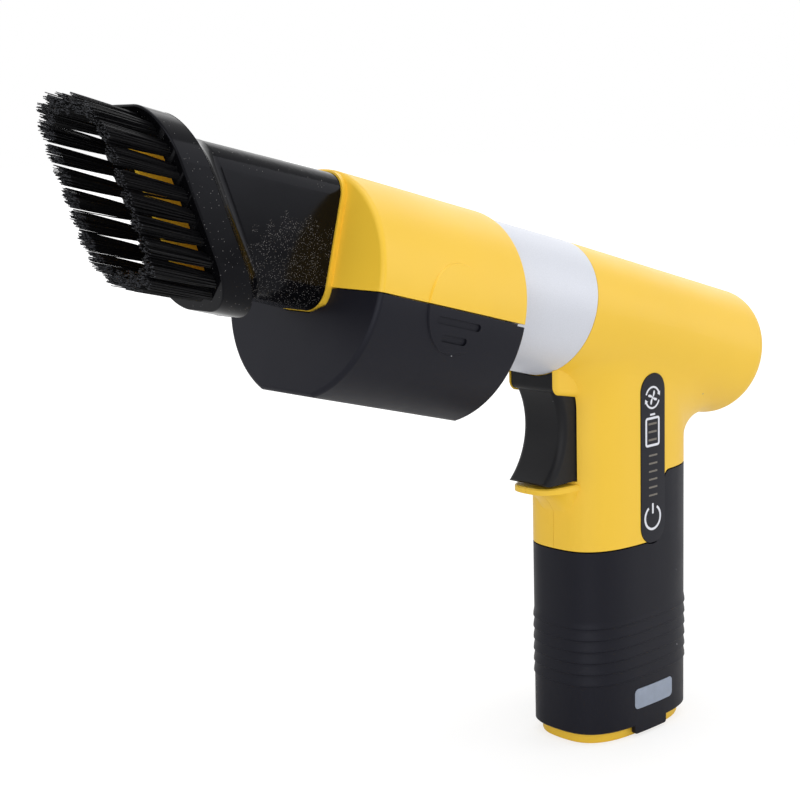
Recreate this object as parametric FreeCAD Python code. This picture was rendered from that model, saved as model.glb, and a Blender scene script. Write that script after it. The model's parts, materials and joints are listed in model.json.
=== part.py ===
import FreeCAD, Part
import math
import os

Vector = FreeCAD.Vector

# Cordless pistol-shaped air duster. Millimetres, +Z up, nozzle towards -Y, control panel on +X.
# The origin is the centre of the flat base under the grip.
# Barrel parts are drawn in the barrel's own frame: X to the side, Y up, Z forward along the bore.

# Barrel axis, as a point on it above the trigger and its rise towards the nozzle
barrel_tilt = 15.0
barrel_origin_y = -29.86
barrel_origin_z = 132.78

# Grip section, a superellipse
grip_half_width = 16.4
grip_half_depth = 25.3
grip_exponent = 2.94
outline_points = 32

# Clearances
fit_gap = 0.3
line_gap = 0.1
housing_gap = 0.42
seam_gap = 0.2
run_gap = 0.05
seat_gap = 0.2

# Barrel of the housing, forward end cut on the slanted seam
ring_radius = 19.85
barrel_rear = -86.8
barrel_taper = 0.001
barrel_droop = 0.85
barrel_rear_round = 5.4
pivot_station = -5.5
seam_station = -1.6
seam_slope = -0.034
housing_wall = 2.1
throat_radius = 14.5
grip_top_drop = 13.28

# Line between the housing and the battery
battery_top_front = 59.7
battery_top_rear = 80.4
battery_step_y = 6.5
battery_step_round = 2.6
turn_steps = 6

# Finger ledge under the trigger
ledge_top = 80.5
ledge_lip = 1.8
ledge_half_width = 9.2
ledge_centre_y = -18.0
ledge_front_y = -37.0
ledge_exponent = 3.2
ledge_sweep_depth = 12.0
ledge_sweep_steps = 5
ledge_sweep_narrowing = 2.4
ledge_root_depth = 0.8
ledge_edge = 0.4

# Cheeks on both sides of the trigger's neck
cheek_half_width = 9.5
cheek_front_y = -34.4
cheek_bottom_z = 108.2
cheek_bottom_drop = 3.6
cheek_top_z = 117.0
cheek_rear_y = -16.0
cheek_round = 3.0
cheek_edge_round = 1.8

# Trigger, hinged on a pin between the cheeks
trigger_half_width = 8.0
trigger_bottom_z = 81.5
trigger_tip_y = -36.5
trigger_tip_z = 82.1
trigger_waist_y = -29.7
trigger_waist_z = 98.5
trigger_back_y = -19.0
trigger_neck_radius = 2.0
trigger_pivot_y = -31.9
trigger_shoulder_y = -20.6
trigger_shoulder_z = 104.2
trigger_shoulder_drop = 1.6
trigger_nape_lean = 40.0
trigger_pocket_half = 4.5
trigger_pocket_height = 10.0
trigger_pocket_sill = 3.0
trigger_front_wall = 4.0
trigger_edge_round = 2.2
trigger_floor_gap = 0.3
trigger_side_gap = 0.35
pin_radius = 1.2
pin_half_length = 9.1
pin_slack = 0.02

# Trigger spring and switch
spring_radius = 2.4
spring_wire_radius = 0.25
spring_turns = 4.0
spring_z = 92.5
switch_front_y = -9.6
switch_length = 10.6
switch_bottom_z = 84.4
switch_height = 11.6
switch_half_width = 6.0
switch_ear_half_width = 13.6
switch_ear_thickness = 1.6
switch_ear_setback = 3.2
switch_corner = 1.0
switch_pin_pitch = 3.0
switch_pin_width = 0.8
switch_pin_length = 2.6
plunger_radius = 1.1
plunger_reach = 5.65
plunger_height = 2.2

# Silver ring
ring_front = 36.1
ring_wall = 2.2
ring_relief_end = 4.0
spigot_wall = 1.8
spigot_length = 4.9
rear_spigot_length = 9.0

# Fan duct, motor and rotor
duct_front = -9.6
duct_rear = -44.0
duct_outer_radius = 16.9
duct_wall = 1.4
hub_wall = 1.2
vane_count = 9
vane_front = -11.0
vane_rear = -22.0
vane_lean_root = 24.0
vane_lean_tip = 32.0
vane_thickness = 1.0
strut_count = 3
strut_width = 2.4
strut_length = 5.0
motor_radius = 10.9
motor_front = -12.0
motor_rear = -45.0
motor_wall = 0.9
motor_plate = 1.2
stator_length = 20.0
stator_centre = -28.5
stator_teeth = 9
stator_tooth_width = 2.6
stator_yoke = 1.6
stator_shoe_lip = 0.6
magnet_radius = 5.2
magnet_air_gap = 0.4
shaft_radius = 1.5
shaft_front = 4.2
shaft_rear = -47.5
bearing_radius = 4.0
bearing_length = 2.6
bearing_seat_wall = 1.0
impeller_front = 3.4
impeller_rear = -8.4
impeller_radius = 14.8
impeller_nose_radius = 4.4
impeller_back_radius = 11.4
blade_count = 11
blade_thickness = 0.9
blade_lean_root = 30.0
blade_lean_tip = 55.0

# Outlet grille in the rear wall
grille_radius = 14.0
grille_flange_radius = 15.0
grille_flange_thickness = 1.2
grille_ring_pitch = 2.9
grille_slot_width = 1.7
grille_slot_count = 4
grille_spokes = 6
grille_spoke_width = 1.6

# Control panel
panel_centre_y = 0.68
panel_half_width = 5.53
panel_bottom_z = 59.4
panel_top_z = 110.9
panel_proud = 0.25
panel_depth = 1.1
panel_board_thickness = 1.0
panel_board_half_width = 4.2
panel_board_bottom = 83.2
panel_board_top = 96.4
panel_chip_count = 3
panel_chip_size = 3.0
panel_chip_height = 0.8

# Main board and contacts
board_thickness = 1.6
board_bottom_z = 81.0
board_front_y = -9.0
capacitor_radius = 3.0
capacitor_height = 9.0
capacitor_x = 6.0
capacitor_y = 11.5
driver_size = 6.0
driver_height = 1.4
driver_x = 3.0
driver_y = 8.0
socket_length = 7.0
socket_width = 3.2
socket_height = 3.0
socket_y = 16.0
contact_spacing = 6.0
contact_count = 3
contact_thickness = 0.8
contact_width = 5.0
contact_y = 5.0
contact_slot_gap = 0.4
contact_depth = 2.4
carrier_thickness = 1.2
carrier_margin = 2.2

# Clamshell screws: two through the handle and two through the barrel
screw_shank_radius = 1.2
screw_head_radius = 2.4
screw_head_height = 1.8
screw_cross_length = 3.0
screw_cross_width = 0.8
screw_boss_radius = 3.2
screw_thread_length = 8.0
screw_head_face = 8.4
handle_screw_rear_y = 18.2
handle_screw_rear_z = 89.0
handle_screw_front_y = -5.5
handle_screw_front_z = 100.0
barrel_screw_offset = 12.6
barrel_screw_top_s = -60.0
barrel_screw_low_s = -72.0

# Battery pack
case_bottom_z = 3.55
case_wall = 2.0
tongue_gap = 0.3
tongue_wall = 1.4
tongue_top_z = 78.6
cell_radius = 10.6
cell_length = 70.2
cell_floor_gap = 0.3
cell_edge = 0.6
cell_knob_radius = 4.2
cell_knob_height = 0.8
cap_plate = 2.2
cap_lip_height = 2.6
cap_lip_wall = 1.4
cap_edge_round = 0.7
rib_count = 6
rib_first_z = 37.4
rib_pitch = 3.52
rib_proud = 0.3
rib_drop = 1.15
rib_undercut = 0.25
rib_rise = 1.5
case_edge = 0.4
tab_front_y = -7.6
tab_rear_y = 7.2
tab_bottom_z = 1.1
tab_thickness = 1.3
tab_corner = 0.8
badge_centre_y = 1.3
badge_length = 18.0
badge_centre_z = 12.05
badge_height = 6.3
badge_corner = 1.5
badge_depth = 0.6
badge_proud = 0.05
protection_thickness = 1.2
terminal_half_width = 10.0
terminal_half_depth = 3.6

# Dust cup: yellow upper half and black bin, parted just below the barrel axis
cup_radius = 29.5
cup_axis_drop = 8.81
cup_rear = 36.4
cup_front = 88.35
cup_wall = 1.8
cup_front_round = 1.3
cup_rear_round = 0.8
cup_flat = -36.5
parting = -8.89
parting_gap = 0.3
lip_height = 2.0
lip_wall = 1.0
lip_gap = 0.25
lip_setback = 6.0
lip_root = 3.0
rear_wall = 2.2
boss_outer_radius = 19.6
boss_length = 3.3
notch_length = 3.2
notch_height = 0.5

# Round thumb pads on both sides of the cup, with two grooves in the bin
pad_centre_s = 60.7
pad_radius = 11.8
pad_proud = 0.45
pad_bevel = 1.0
groove_depth = 0.5
groove_first_u = -12.45
groove_pitch = 4.2
groove_height = 1.9
groove_first_length = 15.6
groove_shrink = 6.8
groove_centre_s = 60.9

# Snout, brush sleeve and collar, all rounded rectangles in the barrel frame
snout_centre_u = 1.9
snout_half_width = 8.8
snout_half_height = 15.4
snout_corner = 4.0
snout_wall = 1.6
snout_front = 130.18
mouth_slope = 0.72
rim_extra = 2.4
rim_proud = 1.4
rim_chine_rise = 2.8
rim_chine_run = 7.0
sleeve_wall = 1.8
sleeve_taper = 0.026
collar_half_width = 14.85
collar_half_height = 21.27
collar_centre_u = 0.82
collar_corner = 11.15
collar_front = 133.23
collar_length = 8.65
flare_length = 7.0
flare_power = 2.6
rim_edge_round = 0.5

# Bristles
tuft_count = 23
tuft_half_width = 11.2
tuft_half_height = 17.65
tuft_centre_u = 0.85
tuft_corner = 7.5
tuft_root_radius = 1.55
tuft_tip_radius = 2.3
tuft_tip = 151.6
tuft_tip_slope = 0.68
tuft_tip_skew = 0.07
tuft_sides = 10

# Filter
seal_outer_radius = 17.4
seal_inner_radius = 15.8
seal_thickness = 1.0
flange_radius = 22.2
flange_thickness = 1.9
frame_radius = 15.6
frame_wall = 1.0
frame_rear = 42.3
frame_front = 70.0
frame_end = 2.0
frame_bars = 6
frame_bar_width = 2.4
pleat_count = 24
pleat_outer_radius = 14.4
pleat_inner_radius = 10.6
pleat_thickness = 0.6

# Values that follow from the ones above
tilt = math.radians(barrel_tilt)
barrel_place = FreeCAD.Placement(
    Vector(0, barrel_origin_y, barrel_origin_z),
    FreeCAD.Rotation(Vector(1, 0, 0), 90 - barrel_tilt),
)
ledge_underside = ledge_top - ledge_lip
housing_top_inside = barrel_origin_z - grip_top_drop
ring_bore = ring_radius - ring_wall
rear_spigot_radius = ring_radius - housing_wall - seat_gap
duct_bore = duct_outer_radius - duct_wall
front_spigot_radius = ring_bore - seat_gap
barrel_radius_at_pivot = ring_radius - barrel_taper * pivot_station
pivot_drop = -(barrel_radius_at_pivot + fit_gap + trigger_neck_radius)
pivot_s = (barrel_origin_y + pivot_drop * math.sin(tilt) - trigger_pivot_y) / math.cos(tilt)
trigger_pivot_z = barrel_origin_z + pivot_drop * math.cos(tilt) + pivot_s * math.sin(tilt)
tongue_inset = housing_wall + tongue_gap
far = 200.0


def barrel_point(x, u, s):
    """Point of the barrel's frame in the part's frame."""
    return barrel_place.multVec(Vector(x, u, s))


def in_barrel(shape):
    """Place a shape drawn in the barrel's frame."""
    placed = shape.copy()
    placed.Placement = barrel_place.multiply(placed.Placement)
    return placed


def in_shell(shape):
    """Place a shape on the housing's own barrel, whose axis droops towards the rear."""
    drooped = shape.copy()
    droop = FreeCAD.Rotation(Vector(1, 0, 0), -barrel_droop)
    drooped.Placement = FreeCAD.Placement(Vector(0, 0, 0), droop).multiply(drooped.Placement)
    return in_barrel(drooped)


def superellipse(half_x, half_y, exponent, level, centre_y=0.0):
    """Closed smooth outline at a level."""
    points = []
    for i in range(outline_points):
        angle = 2 * math.pi * (i + 0.5) / outline_points
        across = math.copysign(abs(math.cos(angle)) ** (2 / exponent), math.cos(angle))
        along = math.copysign(abs(math.sin(angle)) ** (2 / exponent), math.sin(angle))
        points.append(Vector(half_x * across, centre_y + half_y * along, level))
    curve = Part.BSplineCurve()
    curve.interpolate(Points=points, PeriodicFlag=True)
    return Part.Wire([curve.toShape()])


def grip_column(inset, bottom, top):
    """Straight column with the grip's section."""
    outline = superellipse(grip_half_width - inset, grip_half_depth - inset, grip_exponent, bottom)
    return Part.Face(outline).extrude(Vector(0, 0, top - bottom))


def stack(levels, half_x, half_y, exponent, centre_y=0.0):
    """Solid through outlines given as (level, inset) pairs, with straight sides between them."""
    sections = []
    for level, inset in levels:
        sections.append(superellipse(half_x - inset, half_y - inset, exponent, level, centre_y))
    return Part.makeLoft(sections, True, True)


def disc(radius, rear, front):
    """Cylinder along the bore."""
    return Part.makeCylinder(radius, front - rear, Vector(0, 0, rear))


def tube(outer, inner, rear, front):
    """Tube along the bore."""
    return disc(outer, rear, front).cut(disc(inner, rear, front))


def side_prism(points, half_width):
    """Prism across X over an outline of (y, z) points."""
    corners = [Vector(-half_width, y, z) for y, z in points]
    face = Part.Face(Part.makePolygon(corners + corners[:1]))
    return face.extrude(Vector(2 * half_width, 0, 0))


def behind_plane(intercept, slope):
    """Everything behind the plane s = intercept + slope * u, in the barrel's frame."""
    points = [(-far, intercept - slope * far), (far, intercept + slope * far), (far, -far), (-far, -far)]
    return side_prism(points, far)


def rounded_rectangle(half_width, half_height, corner, centre_u, s):
    """Closed outline in the barrel's frame at a station s."""
    right = half_width - corner
    up = half_height - corner
    bulge = corner * math.sqrt(0.5)
    edges = []
    corners = ((right, up, 1, 1), (-right, up, -1, 1), (-right, -up, -1, -1), (right, -up, 1, -1))
    ends = []
    for x, y, sx, sy in corners:
        flat = Vector(x + sx * corner, centre_u + y, s)
        level = Vector(x, centre_u + y + sy * corner, s)
        middle = Vector(x + sx * bulge, centre_u + y + sy * bulge, s)
        first, last = (flat, level) if sx * sy > 0 else (level, flat)
        edges.append(Part.Arc(first, middle, last).toShape())
        ends.append((first, last))
    for i in range(4):
        edges.append(Part.makeLine(ends[i][1], ends[(i + 1) % 4][0]))
    return Part.Wire(Part.__sortEdges__(edges))


def rectangle_prism(half_width, half_height, corner, centre_u, rear, front):
    """Prism along the bore over a rounded rectangle."""
    outline = rounded_rectangle(half_width, half_height, corner, centre_u, rear)
    return Part.Face(outline).extrude(Vector(0, 0, front - rear))


def side_capsule(centre_y, half_width, bottom, top, grow, start_x, end_x):
    """Capsule upright in the (y, z) plane, extruded along X."""
    radius = half_width + grow
    low = bottom + half_width
    high = top - half_width
    length = end_x - start_x
    body = Part.makeBox(length, 2 * radius, high - low, Vector(start_x, centre_y - radius, low))
    for z in (low, high):
        end = Part.makeCylinder(radius, length, Vector(start_x, centre_y, z), Vector(1, 0, 0))
        body = body.fuse(end)
    return body.removeSplitter()


def on_grip(point, inset):
    """True for a point on the grip's side surface."""
    across = abs(point.x / (grip_half_width - inset)) ** grip_exponent
    along = abs(point.y / (grip_half_depth - inset)) ** grip_exponent
    return abs(across + along - 1) < 0.03


def barrel_radius(s):
    """Outside radius of the housing's barrel at a station."""
    return ring_radius - barrel_taper * s


def barrel_cone(inset):
    """Barrel of the housing, smaller by the inset, with its rounded rear edge."""
    rear = barrel_rear + inset
    front = rear_spigot_length
    cone = Part.makeCone(
        barrel_radius(rear) - inset, barrel_radius(front) - inset, front - rear, Vector(0, 0, rear)
    )
    rear_edges = [edge for edge in cone.Edges if edge.Closed and abs(edge.CenterOfMass.z - rear) < 0.01]
    return in_shell(cone.makeFillet(barrel_rear_round - inset, rear_edges))


def pistol_form(inset, bottom):
    """Barrel and grip blended at the throat, smaller by the inset."""
    barrel = barrel_cone(inset)
    grip = grip_column(inset, bottom, housing_top_inside)
    body = barrel.fuse(grip)
    joint = []
    for edge in body.Edges:
        middle = edge.valueAt((edge.FirstParameter + edge.LastParameter) / 2)
        start = edge.valueAt(edge.FirstParameter)
        level = middle.z > bottom + 1 and start.z > bottom + 1
        if level and on_grip(middle, inset) and on_grip(start, inset):
            joint.append(edge)
    return body.makeFillet(throat_radius + inset, joint)


def battery_zone(gap, panel_grow):
    """Region of the battery pack's outer skin: tall at the rear, rounded off beside the panel."""
    front = battery_top_front + gap
    step = battery_step_y - gap
    top = battery_top_rear + gap
    turn = battery_step_round
    low_round = top - turn
    beside_panel = panel_bottom_z + panel_half_width
    outline = [(-far, -far), (-far, front), (panel_centre_y, front), (panel_centre_y, beside_panel)]
    outline.append((step, beside_panel))
    for i in range(turn_steps + 1):
        angle = math.radians(180 - 90 * i / turn_steps)
        outline.append((step + turn + turn * math.cos(angle), low_round + turn * math.sin(angle)))
    outline += [(far, top), (far, -far)]
    capsule = side_capsule(
        panel_centre_y, panel_half_width, panel_bottom_z, panel_top_z, panel_grow, -far, far
    )
    return side_prism(outline, far).cut(capsule)


def ledge():
    """Finger ledge: a thin rounded lip swept back into the grip's front."""
    depth = ledge_centre_y - ledge_front_y
    levels = ((ledge_underside, 0.0), (ledge_top - ledge_edge, 0.0), (ledge_top, ledge_edge))
    lip = stack(levels, ledge_half_width, depth, ledge_exponent, ledge_centre_y)
    reach = depth - (grip_half_depth + ledge_centre_y)
    sections = []
    for i in range(ledge_sweep_steps + 1):
        share = i / ledge_sweep_steps
        level = ledge_underside - ledge_sweep_depth * share
        pull = reach * math.sqrt(1 - (1 - share) ** 2) + ledge_root_depth * share + ledge_edge
        narrow = ledge_sweep_narrowing * share + ledge_edge
        half_width = ledge_half_width - narrow
        sections.append(superellipse(half_width, depth - pull, ledge_exponent, level, ledge_centre_y))
    return lip.fuse(Part.makeLoft(sections, True, False))


def cheeks():
    """Rounded lobes that hold the trigger's neck, drawn as one block before the slot is cut."""
    front = cheek_front_y
    low = cheek_bottom_z
    top = cheek_top_z
    back = cheek_rear_y
    outline = [(back, low - cheek_bottom_drop), (front, low), (front, top), (back, top)]
    block = side_prism(outline, cheek_half_width)
    corner = []
    for edge in block.Edges:
        middle = edge.CenterOfMass
        if abs(middle.y - front) < 0.01 and abs(middle.z - low) < 0.01:
            corner.append(edge)
    block = block.makeFillet(cheek_round, corner)
    outer = []
    for edge in block.Edges:
        middle = edge.CenterOfMass
        on_side = abs(abs(middle.x) - cheek_half_width) < 0.01
        if on_side and middle.z < top - 0.1 and middle.y < back - 0.1:
            outer.append(edge)
    return block.makeFillet(cheek_edge_round, outer)


def trigger_slot():
    """Opening for the trigger, under the barrel and between the cheeks."""
    low = trigger_bottom_z - trigger_floor_gap
    half = trigger_half_width + trigger_side_gap
    front = trigger_tip_y - 5.0
    back = trigger_back_y + 3.0
    slot = Part.makeBox(2 * half, back - front, housing_top_inside - low, Vector(-half, front, low))
    return slot.cut(barrel_cone(0))


def screw_places():
    """Screw axes, all along X, as (y, z) pairs."""
    top = barrel_point(0, barrel_screw_offset, barrel_screw_top_s)
    low = barrel_point(0, -barrel_screw_offset, barrel_screw_low_s)
    handle = [(handle_screw_rear_y, handle_screw_rear_z), (handle_screw_front_y, handle_screw_front_z)]
    return handle + [(top.y, top.z), (low.y, low.z)]


def across_cylinder(radius, start_x, end_x, y, z):
    """Cylinder along X."""
    return Part.makeCylinder(radius, end_x - start_x, Vector(start_x, y, z), Vector(1, 0, 0))


def screws():
    """Four clamshell screws, heads on the -X side."""
    made = []
    top = -screw_head_face - screw_head_height
    arm = screw_cross_length / 2
    slit = screw_cross_width / 2
    deep = screw_head_height / 2
    for y, z in screw_places():
        shank = across_cylinder(screw_shank_radius, -screw_head_face, screw_thread_length, y, z)
        head = across_cylinder(screw_head_radius, top, -screw_head_face, y, z)
        level = Part.makeBox(deep, 2 * arm, 2 * slit, Vector(top, y - arm, z - slit))
        upright = Part.makeBox(deep, 2 * slit, 2 * arm, Vector(top, y - slit, z - arm))
        made.append(shank.fuse(head).cut(level.fuse(upright)).removeSplitter())
    return Part.makeCompound(made)


def side_of(start):
    """Everything on the +X side of a start."""
    return Part.makeBox(far, 2 * far, 2 * far, Vector(start, -far, -far))


def housing_blank(outer, inner):
    """One half of the clamshell: wall, ledge, cheek, screw bosses and openings, before its screw holes."""
    keep = side_of(line_gap / 2)
    seam = in_barrel(behind_plane(seam_station - seam_gap, seam_slope))
    room = inner.common(keep)
    bosses = [across_cylinder(screw_boss_radius, -far, far, y, z) for y, z in screw_places()]
    wall = outer.common(seam).common(keep).cut(battery_zone(housing_gap, 0.0)).cut(room.cut(bosses))
    slot = trigger_slot()
    ring_zone = disc(ring_radius + line_gap, -far, ring_front).cut(behind_plane(seam_station, seam_slope))
    lobe = cheeks().common(keep).cut([room, slot, in_barrel(ring_zone)])
    shelf = ledge().common(keep).cut(room)
    body = wall.cut(slot).fuse([lobe, shelf])
    pin = across_cylinder(pin_radius, -pin_half_length, pin_half_length, trigger_pivot_y, trigger_pivot_z)
    rear_opening = in_shell(disc(grille_radius + line_gap, barrel_rear - 1, barrel_rear + housing_wall + 1))
    return body.cut([pin, rear_opening])


def screw_holes(side):
    """Holes for the screws: headroom on the -X side, pilot bores on the +X side."""
    holes = []
    for y, z in screw_places():
        if side < 0:
            holes.append(across_cylinder(screw_shank_radius + run_gap, -screw_head_face - 1, 1, y, z))
            holes.append(across_cylinder(screw_head_radius + line_gap, -far, -screw_head_face, y, z))
        else:
            holes.append(across_cylinder(screw_shank_radius, -1, screw_thread_length + fit_gap, y, z))
    return holes


def housing_half(blank, side):
    """One half of the clamshell with its screw holes."""
    half = blank if side > 0 else blank.mirror(Vector(0, 0, 0), Vector(1, 0, 0))
    return half.cut(screw_holes(side))


def panel_skin(outer, shift):
    """Piece of the housing's form round the panel, moved along X."""
    margin = 3.0
    box = Part.makeBox(40.0, 2 * (panel_half_width + margin), panel_top_z - panel_bottom_z + 2 * margin,
                       Vector(5.0, panel_centre_y - panel_half_width - margin, panel_bottom_z - margin))
    skin = outer.common(box)
    skin.translate(Vector(shift, 0, 0))
    return skin


def panel_capsule(grow):
    """Capsule through the +X side, larger by the growth."""
    return side_capsule(panel_centre_y, panel_half_width, panel_bottom_z, panel_top_z, grow, 10.0, 40.0)


def panel_pocket(outer):
    """Room for the control panel in the +X side."""
    return panel_capsule(line_gap).cut(panel_skin(outer, -panel_depth))


def control_panel(outer):
    """Capsule-shaped panel that follows the grip's side."""
    return panel_capsule(0.0).common(panel_skin(outer, panel_proud)).cut(panel_skin(outer, -panel_depth))


def trigger():
    """Trigger with a hollow front, a crown hugging the barrel over its pin and a pocket for the spring."""
    half = trigger_half_width
    y, z = trigger_pivot_y, trigger_pivot_z
    neck = trigger_neck_radius
    lean = math.radians(trigger_nape_lean)
    tip = Vector(-half, trigger_tip_y, trigger_tip_z)
    waist = Vector(-half, trigger_waist_y, trigger_waist_z)
    brow = Vector(-half, y - neck, z)
    nape = Vector(-half, y + neck * math.sin(lean), z + neck * math.cos(lean))
    shoulder = Vector(-half, trigger_shoulder_y, trigger_shoulder_z)
    back_top = Vector(-half, trigger_back_y, trigger_shoulder_z - trigger_shoulder_drop)
    back_low = Vector(-half, trigger_back_y, trigger_bottom_z)
    toe = Vector(-half, trigger_tip_y + trigger_tip_z - trigger_bottom_z, trigger_bottom_z)
    edges = [
        Part.Arc(tip, waist, brow).toShape(),
        Part.makeLine(brow, nape),
        Part.makeLine(nape, shoulder),
        Part.makeLine(shoulder, back_top),
        Part.makeLine(back_top, back_low),
        Part.makeLine(back_low, toe),
        Part.makeLine(toe, tip),
    ]
    body = Part.Face(Part.Wire(edges)).extrude(Vector(2 * half, 0, 0))
    front = [edge for edge in body.Edges if edge.Curve.TypeId == "Part::GeomCircle"]
    body = body.makeFillet(trigger_edge_round, front)
    crown = Part.makeBox(2 * half, neck + nape.y - y, ring_radius, Vector(-half, y - neck, z))
    crown = crown.cut(in_shell(disc(ring_radius + fit_gap, -far, far)))
    body = body.fuse([across_cylinder(neck, -half, half, y, z), crown])
    bore = across_cylinder(pin_radius + run_gap, -half - 1, half + 1, y, z)
    pocket_front = trigger_waist_y + trigger_front_wall
    pocket_length = trigger_back_y - pocket_front + 1
    pocket_corner = Vector(-trigger_pocket_half, pocket_front, trigger_bottom_z + trigger_pocket_sill)
    pocket = Part.makeBox(2 * trigger_pocket_half, pocket_length, trigger_pocket_height, pocket_corner)
    return body.cut([bore, pocket])


def trigger_pin():
    """Dowel between the cheeks."""
    half = pin_half_length - line_gap
    return across_cylinder(pin_radius - pin_slack, -half, half, trigger_pivot_y, trigger_pivot_z)


def trigger_spring():
    """Round-wire compression spring between the trigger's back and the switch."""
    start = trigger_back_y + line_gap
    end = switch_front_y - line_gap
    height = end - start - 2 * spring_wire_radius
    pitch = height / spring_turns
    path = Part.Wire(Part.makeHelix(pitch, height, spring_radius - spring_wire_radius).Edges)
    centre = Vector(spring_radius - spring_wire_radius, 0, 0)
    section = Part.Wire([Part.Circle(centre, Vector(0, 1, 0), spring_wire_radius).toShape()])
    coil = path.makePipeShell([section], True, True)
    turn = FreeCAD.Rotation(Vector(1, 0, 0), -90)
    coil.Placement = FreeCAD.Placement(Vector(0, start + spring_wire_radius, spring_z), turn)
    return coil


def trigger_switch():
    """Switch block with side ears that reach the housing walls, and a plunger behind the trigger."""
    half = switch_half_width
    corner = Vector(-half, switch_front_y, switch_bottom_z)
    body = Part.makeBox(2 * half, switch_length, switch_height, corner)
    uprights = [edge for edge in body.Edges if edge.BoundBox.ZLength > switch_height - 0.01]
    body = body.makeFillet(switch_corner, uprights)
    ear = switch_ear_half_width
    ear_corner = Vector(-ear, switch_front_y + switch_ear_setback, switch_bottom_z + switch_corner)
    ears = Part.makeBox(2 * ear, switch_ear_thickness, 0.6 * switch_height, ear_corner)
    plunger_end = Vector(0, switch_front_y - plunger_reach, switch_bottom_z + plunger_height)
    plunger = Part.makeCylinder(plunger_radius, plunger_reach, plunger_end, Vector(0, 1, 0))
    pins = []
    for i in (-1, 0, 1):
        pin_corner = Vector(
            i * switch_pin_pitch - switch_pin_width / 2, switch_front_y + switch_length,
            switch_bottom_z + switch_height / 3
        )
        pins.append(Part.makeBox(switch_pin_width, switch_pin_length, switch_pin_width, pin_corner))
    return body.fuse([ears, plunger] + pins)


def motor_ring():
    """Silver ring with a spigot at each end."""
    ahead = disc(ring_radius, -far, ring_front).cut(behind_plane(seam_station, seam_slope))
    rear = disc(rear_spigot_radius, -rear_spigot_length, ring_front)
    front = disc(front_spigot_radius, 0, ring_front + spigot_length)
    body = ahead.fuse([rear, front])
    body = body.cut(disc(front_spigot_radius - spigot_wall, -far, far))
    relief = disc(ring_bore, ring_relief_end, ring_front - ring_relief_end)
    return in_barrel(body.cut(relief))


def blade(root_radius, tip_radius, rear, front, lean_root, lean_tip, thickness):
    """Curved blade along X from the root to the tip, leaning more at the tip."""
    sections = []
    middle_s = (front + rear) / 2
    length = front - rear
    for radius, lean in ((root_radius, lean_root), (tip_radius, lean_tip)):
        angle = math.radians(lean)
        side = math.tan(angle) * length / 2
        camber = 0.12 * length
        across = thickness / 2 / math.cos(angle)
        points = []
        for offset in (across, -across):
            points.append([
                Vector(radius, -side + offset, rear),
                Vector(radius, camber + offset, middle_s),
                Vector(radius, side + offset, front),
            ])
        first, second = points
        edges = [
            Part.Arc(*first).toShape(),
            Part.makeLine(first[2], second[2]),
            Part.Arc(*second).toShape(),
            Part.makeLine(second[0], first[0]),
        ]
        sections.append(Part.Wire(Part.__sortEdges__(edges)))
    return Part.makeLoft(sections, True, True)


def ring_of(shape, count, turn=0.0):
    """Copies of a shape spaced evenly round the bore."""
    copies = []
    for i in range(count):
        copy = shape.copy()
        copy.rotate(Vector(0, 0, 0), Vector(0, 0, 1), turn + 360.0 * i / count)
        copies.append(copy)
    return copies


def impeller():
    """Mixed-flow impeller: a flared hub with leaning blades."""
    nose = Vector(impeller_nose_radius, 0, impeller_front)
    back = Vector(impeller_back_radius, 0, impeller_rear)
    middle_radius = 0.38 * (impeller_nose_radius + impeller_back_radius)
    waist = Vector(middle_radius, 0, 0.5 * (impeller_front + impeller_rear))
    bore = shaft_radius
    edges = [
        Part.makeLine(Vector(bore, 0, impeller_front), nose),
        Part.Arc(nose, waist, back).toShape(),
        Part.makeLine(back, Vector(bore, 0, impeller_rear)),
        Part.makeLine(Vector(bore, 0, impeller_rear), Vector(bore, 0, impeller_front)),
    ]
    hub = Part.Face(Part.Wire(edges)).revolve(Vector(0, 0, 0), Vector(0, 0, 1), 360)
    one = blade(bore + 1.0, impeller_radius + 1.5, impeller_rear + 0.3, impeller_front - 0.4,
                blade_lean_root, blade_lean_tip, blade_thickness)
    sweep = tube(impeller_radius, bore + 1.4, impeller_rear + 0.3, impeller_front - 0.4)
    one = one.common(sweep)
    return in_barrel(hub.fuse(ring_of(one, blade_count)))


def fan_duct():
    """Outer duct and motor sleeve joined by curved guide vanes and three rear struts."""
    outer = tube(duct_outer_radius, duct_bore, duct_rear, duct_front)
    sleeve_bore = motor_radius + seat_gap
    sleeve = tube(sleeve_bore + hub_wall, sleeve_bore, duct_rear, duct_front - 0.6)
    gap = tube(duct_bore + duct_wall / 2, sleeve_bore + hub_wall / 2, -far, far)
    vane = blade(sleeve_bore, duct_outer_radius, vane_rear, vane_front,
                 -vane_lean_root, -vane_lean_tip, vane_thickness)
    vane = vane.common(gap)
    strut = Part.makeBox(duct_outer_radius, strut_width, strut_length, Vector(0, -strut_width / 2, duct_rear))
    strut = strut.common(gap)
    return in_barrel(outer.fuse([sleeve] + ring_of(vane, vane_count) + ring_of(strut, strut_count, 30)))


def motor_can():
    """Drawn can, open at the rear, with the front bearing's seat."""
    rim = motor_radius - motor_wall
    room = disc(rim, motor_rear - 1, motor_front - motor_plate)
    body = disc(motor_radius, motor_rear, motor_front).cut(room)
    seat_end = motor_front - motor_plate - bearing_length
    seat = disc(bearing_radius + bearing_seat_wall, seat_end, motor_front - motor_plate / 2)
    body = body.fuse(seat).cut(disc(bearing_radius + run_gap, seat_end - 1, motor_front - motor_plate))
    return in_barrel(body.cut(disc(shaft_radius + fit_gap, -far, far)))


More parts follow.
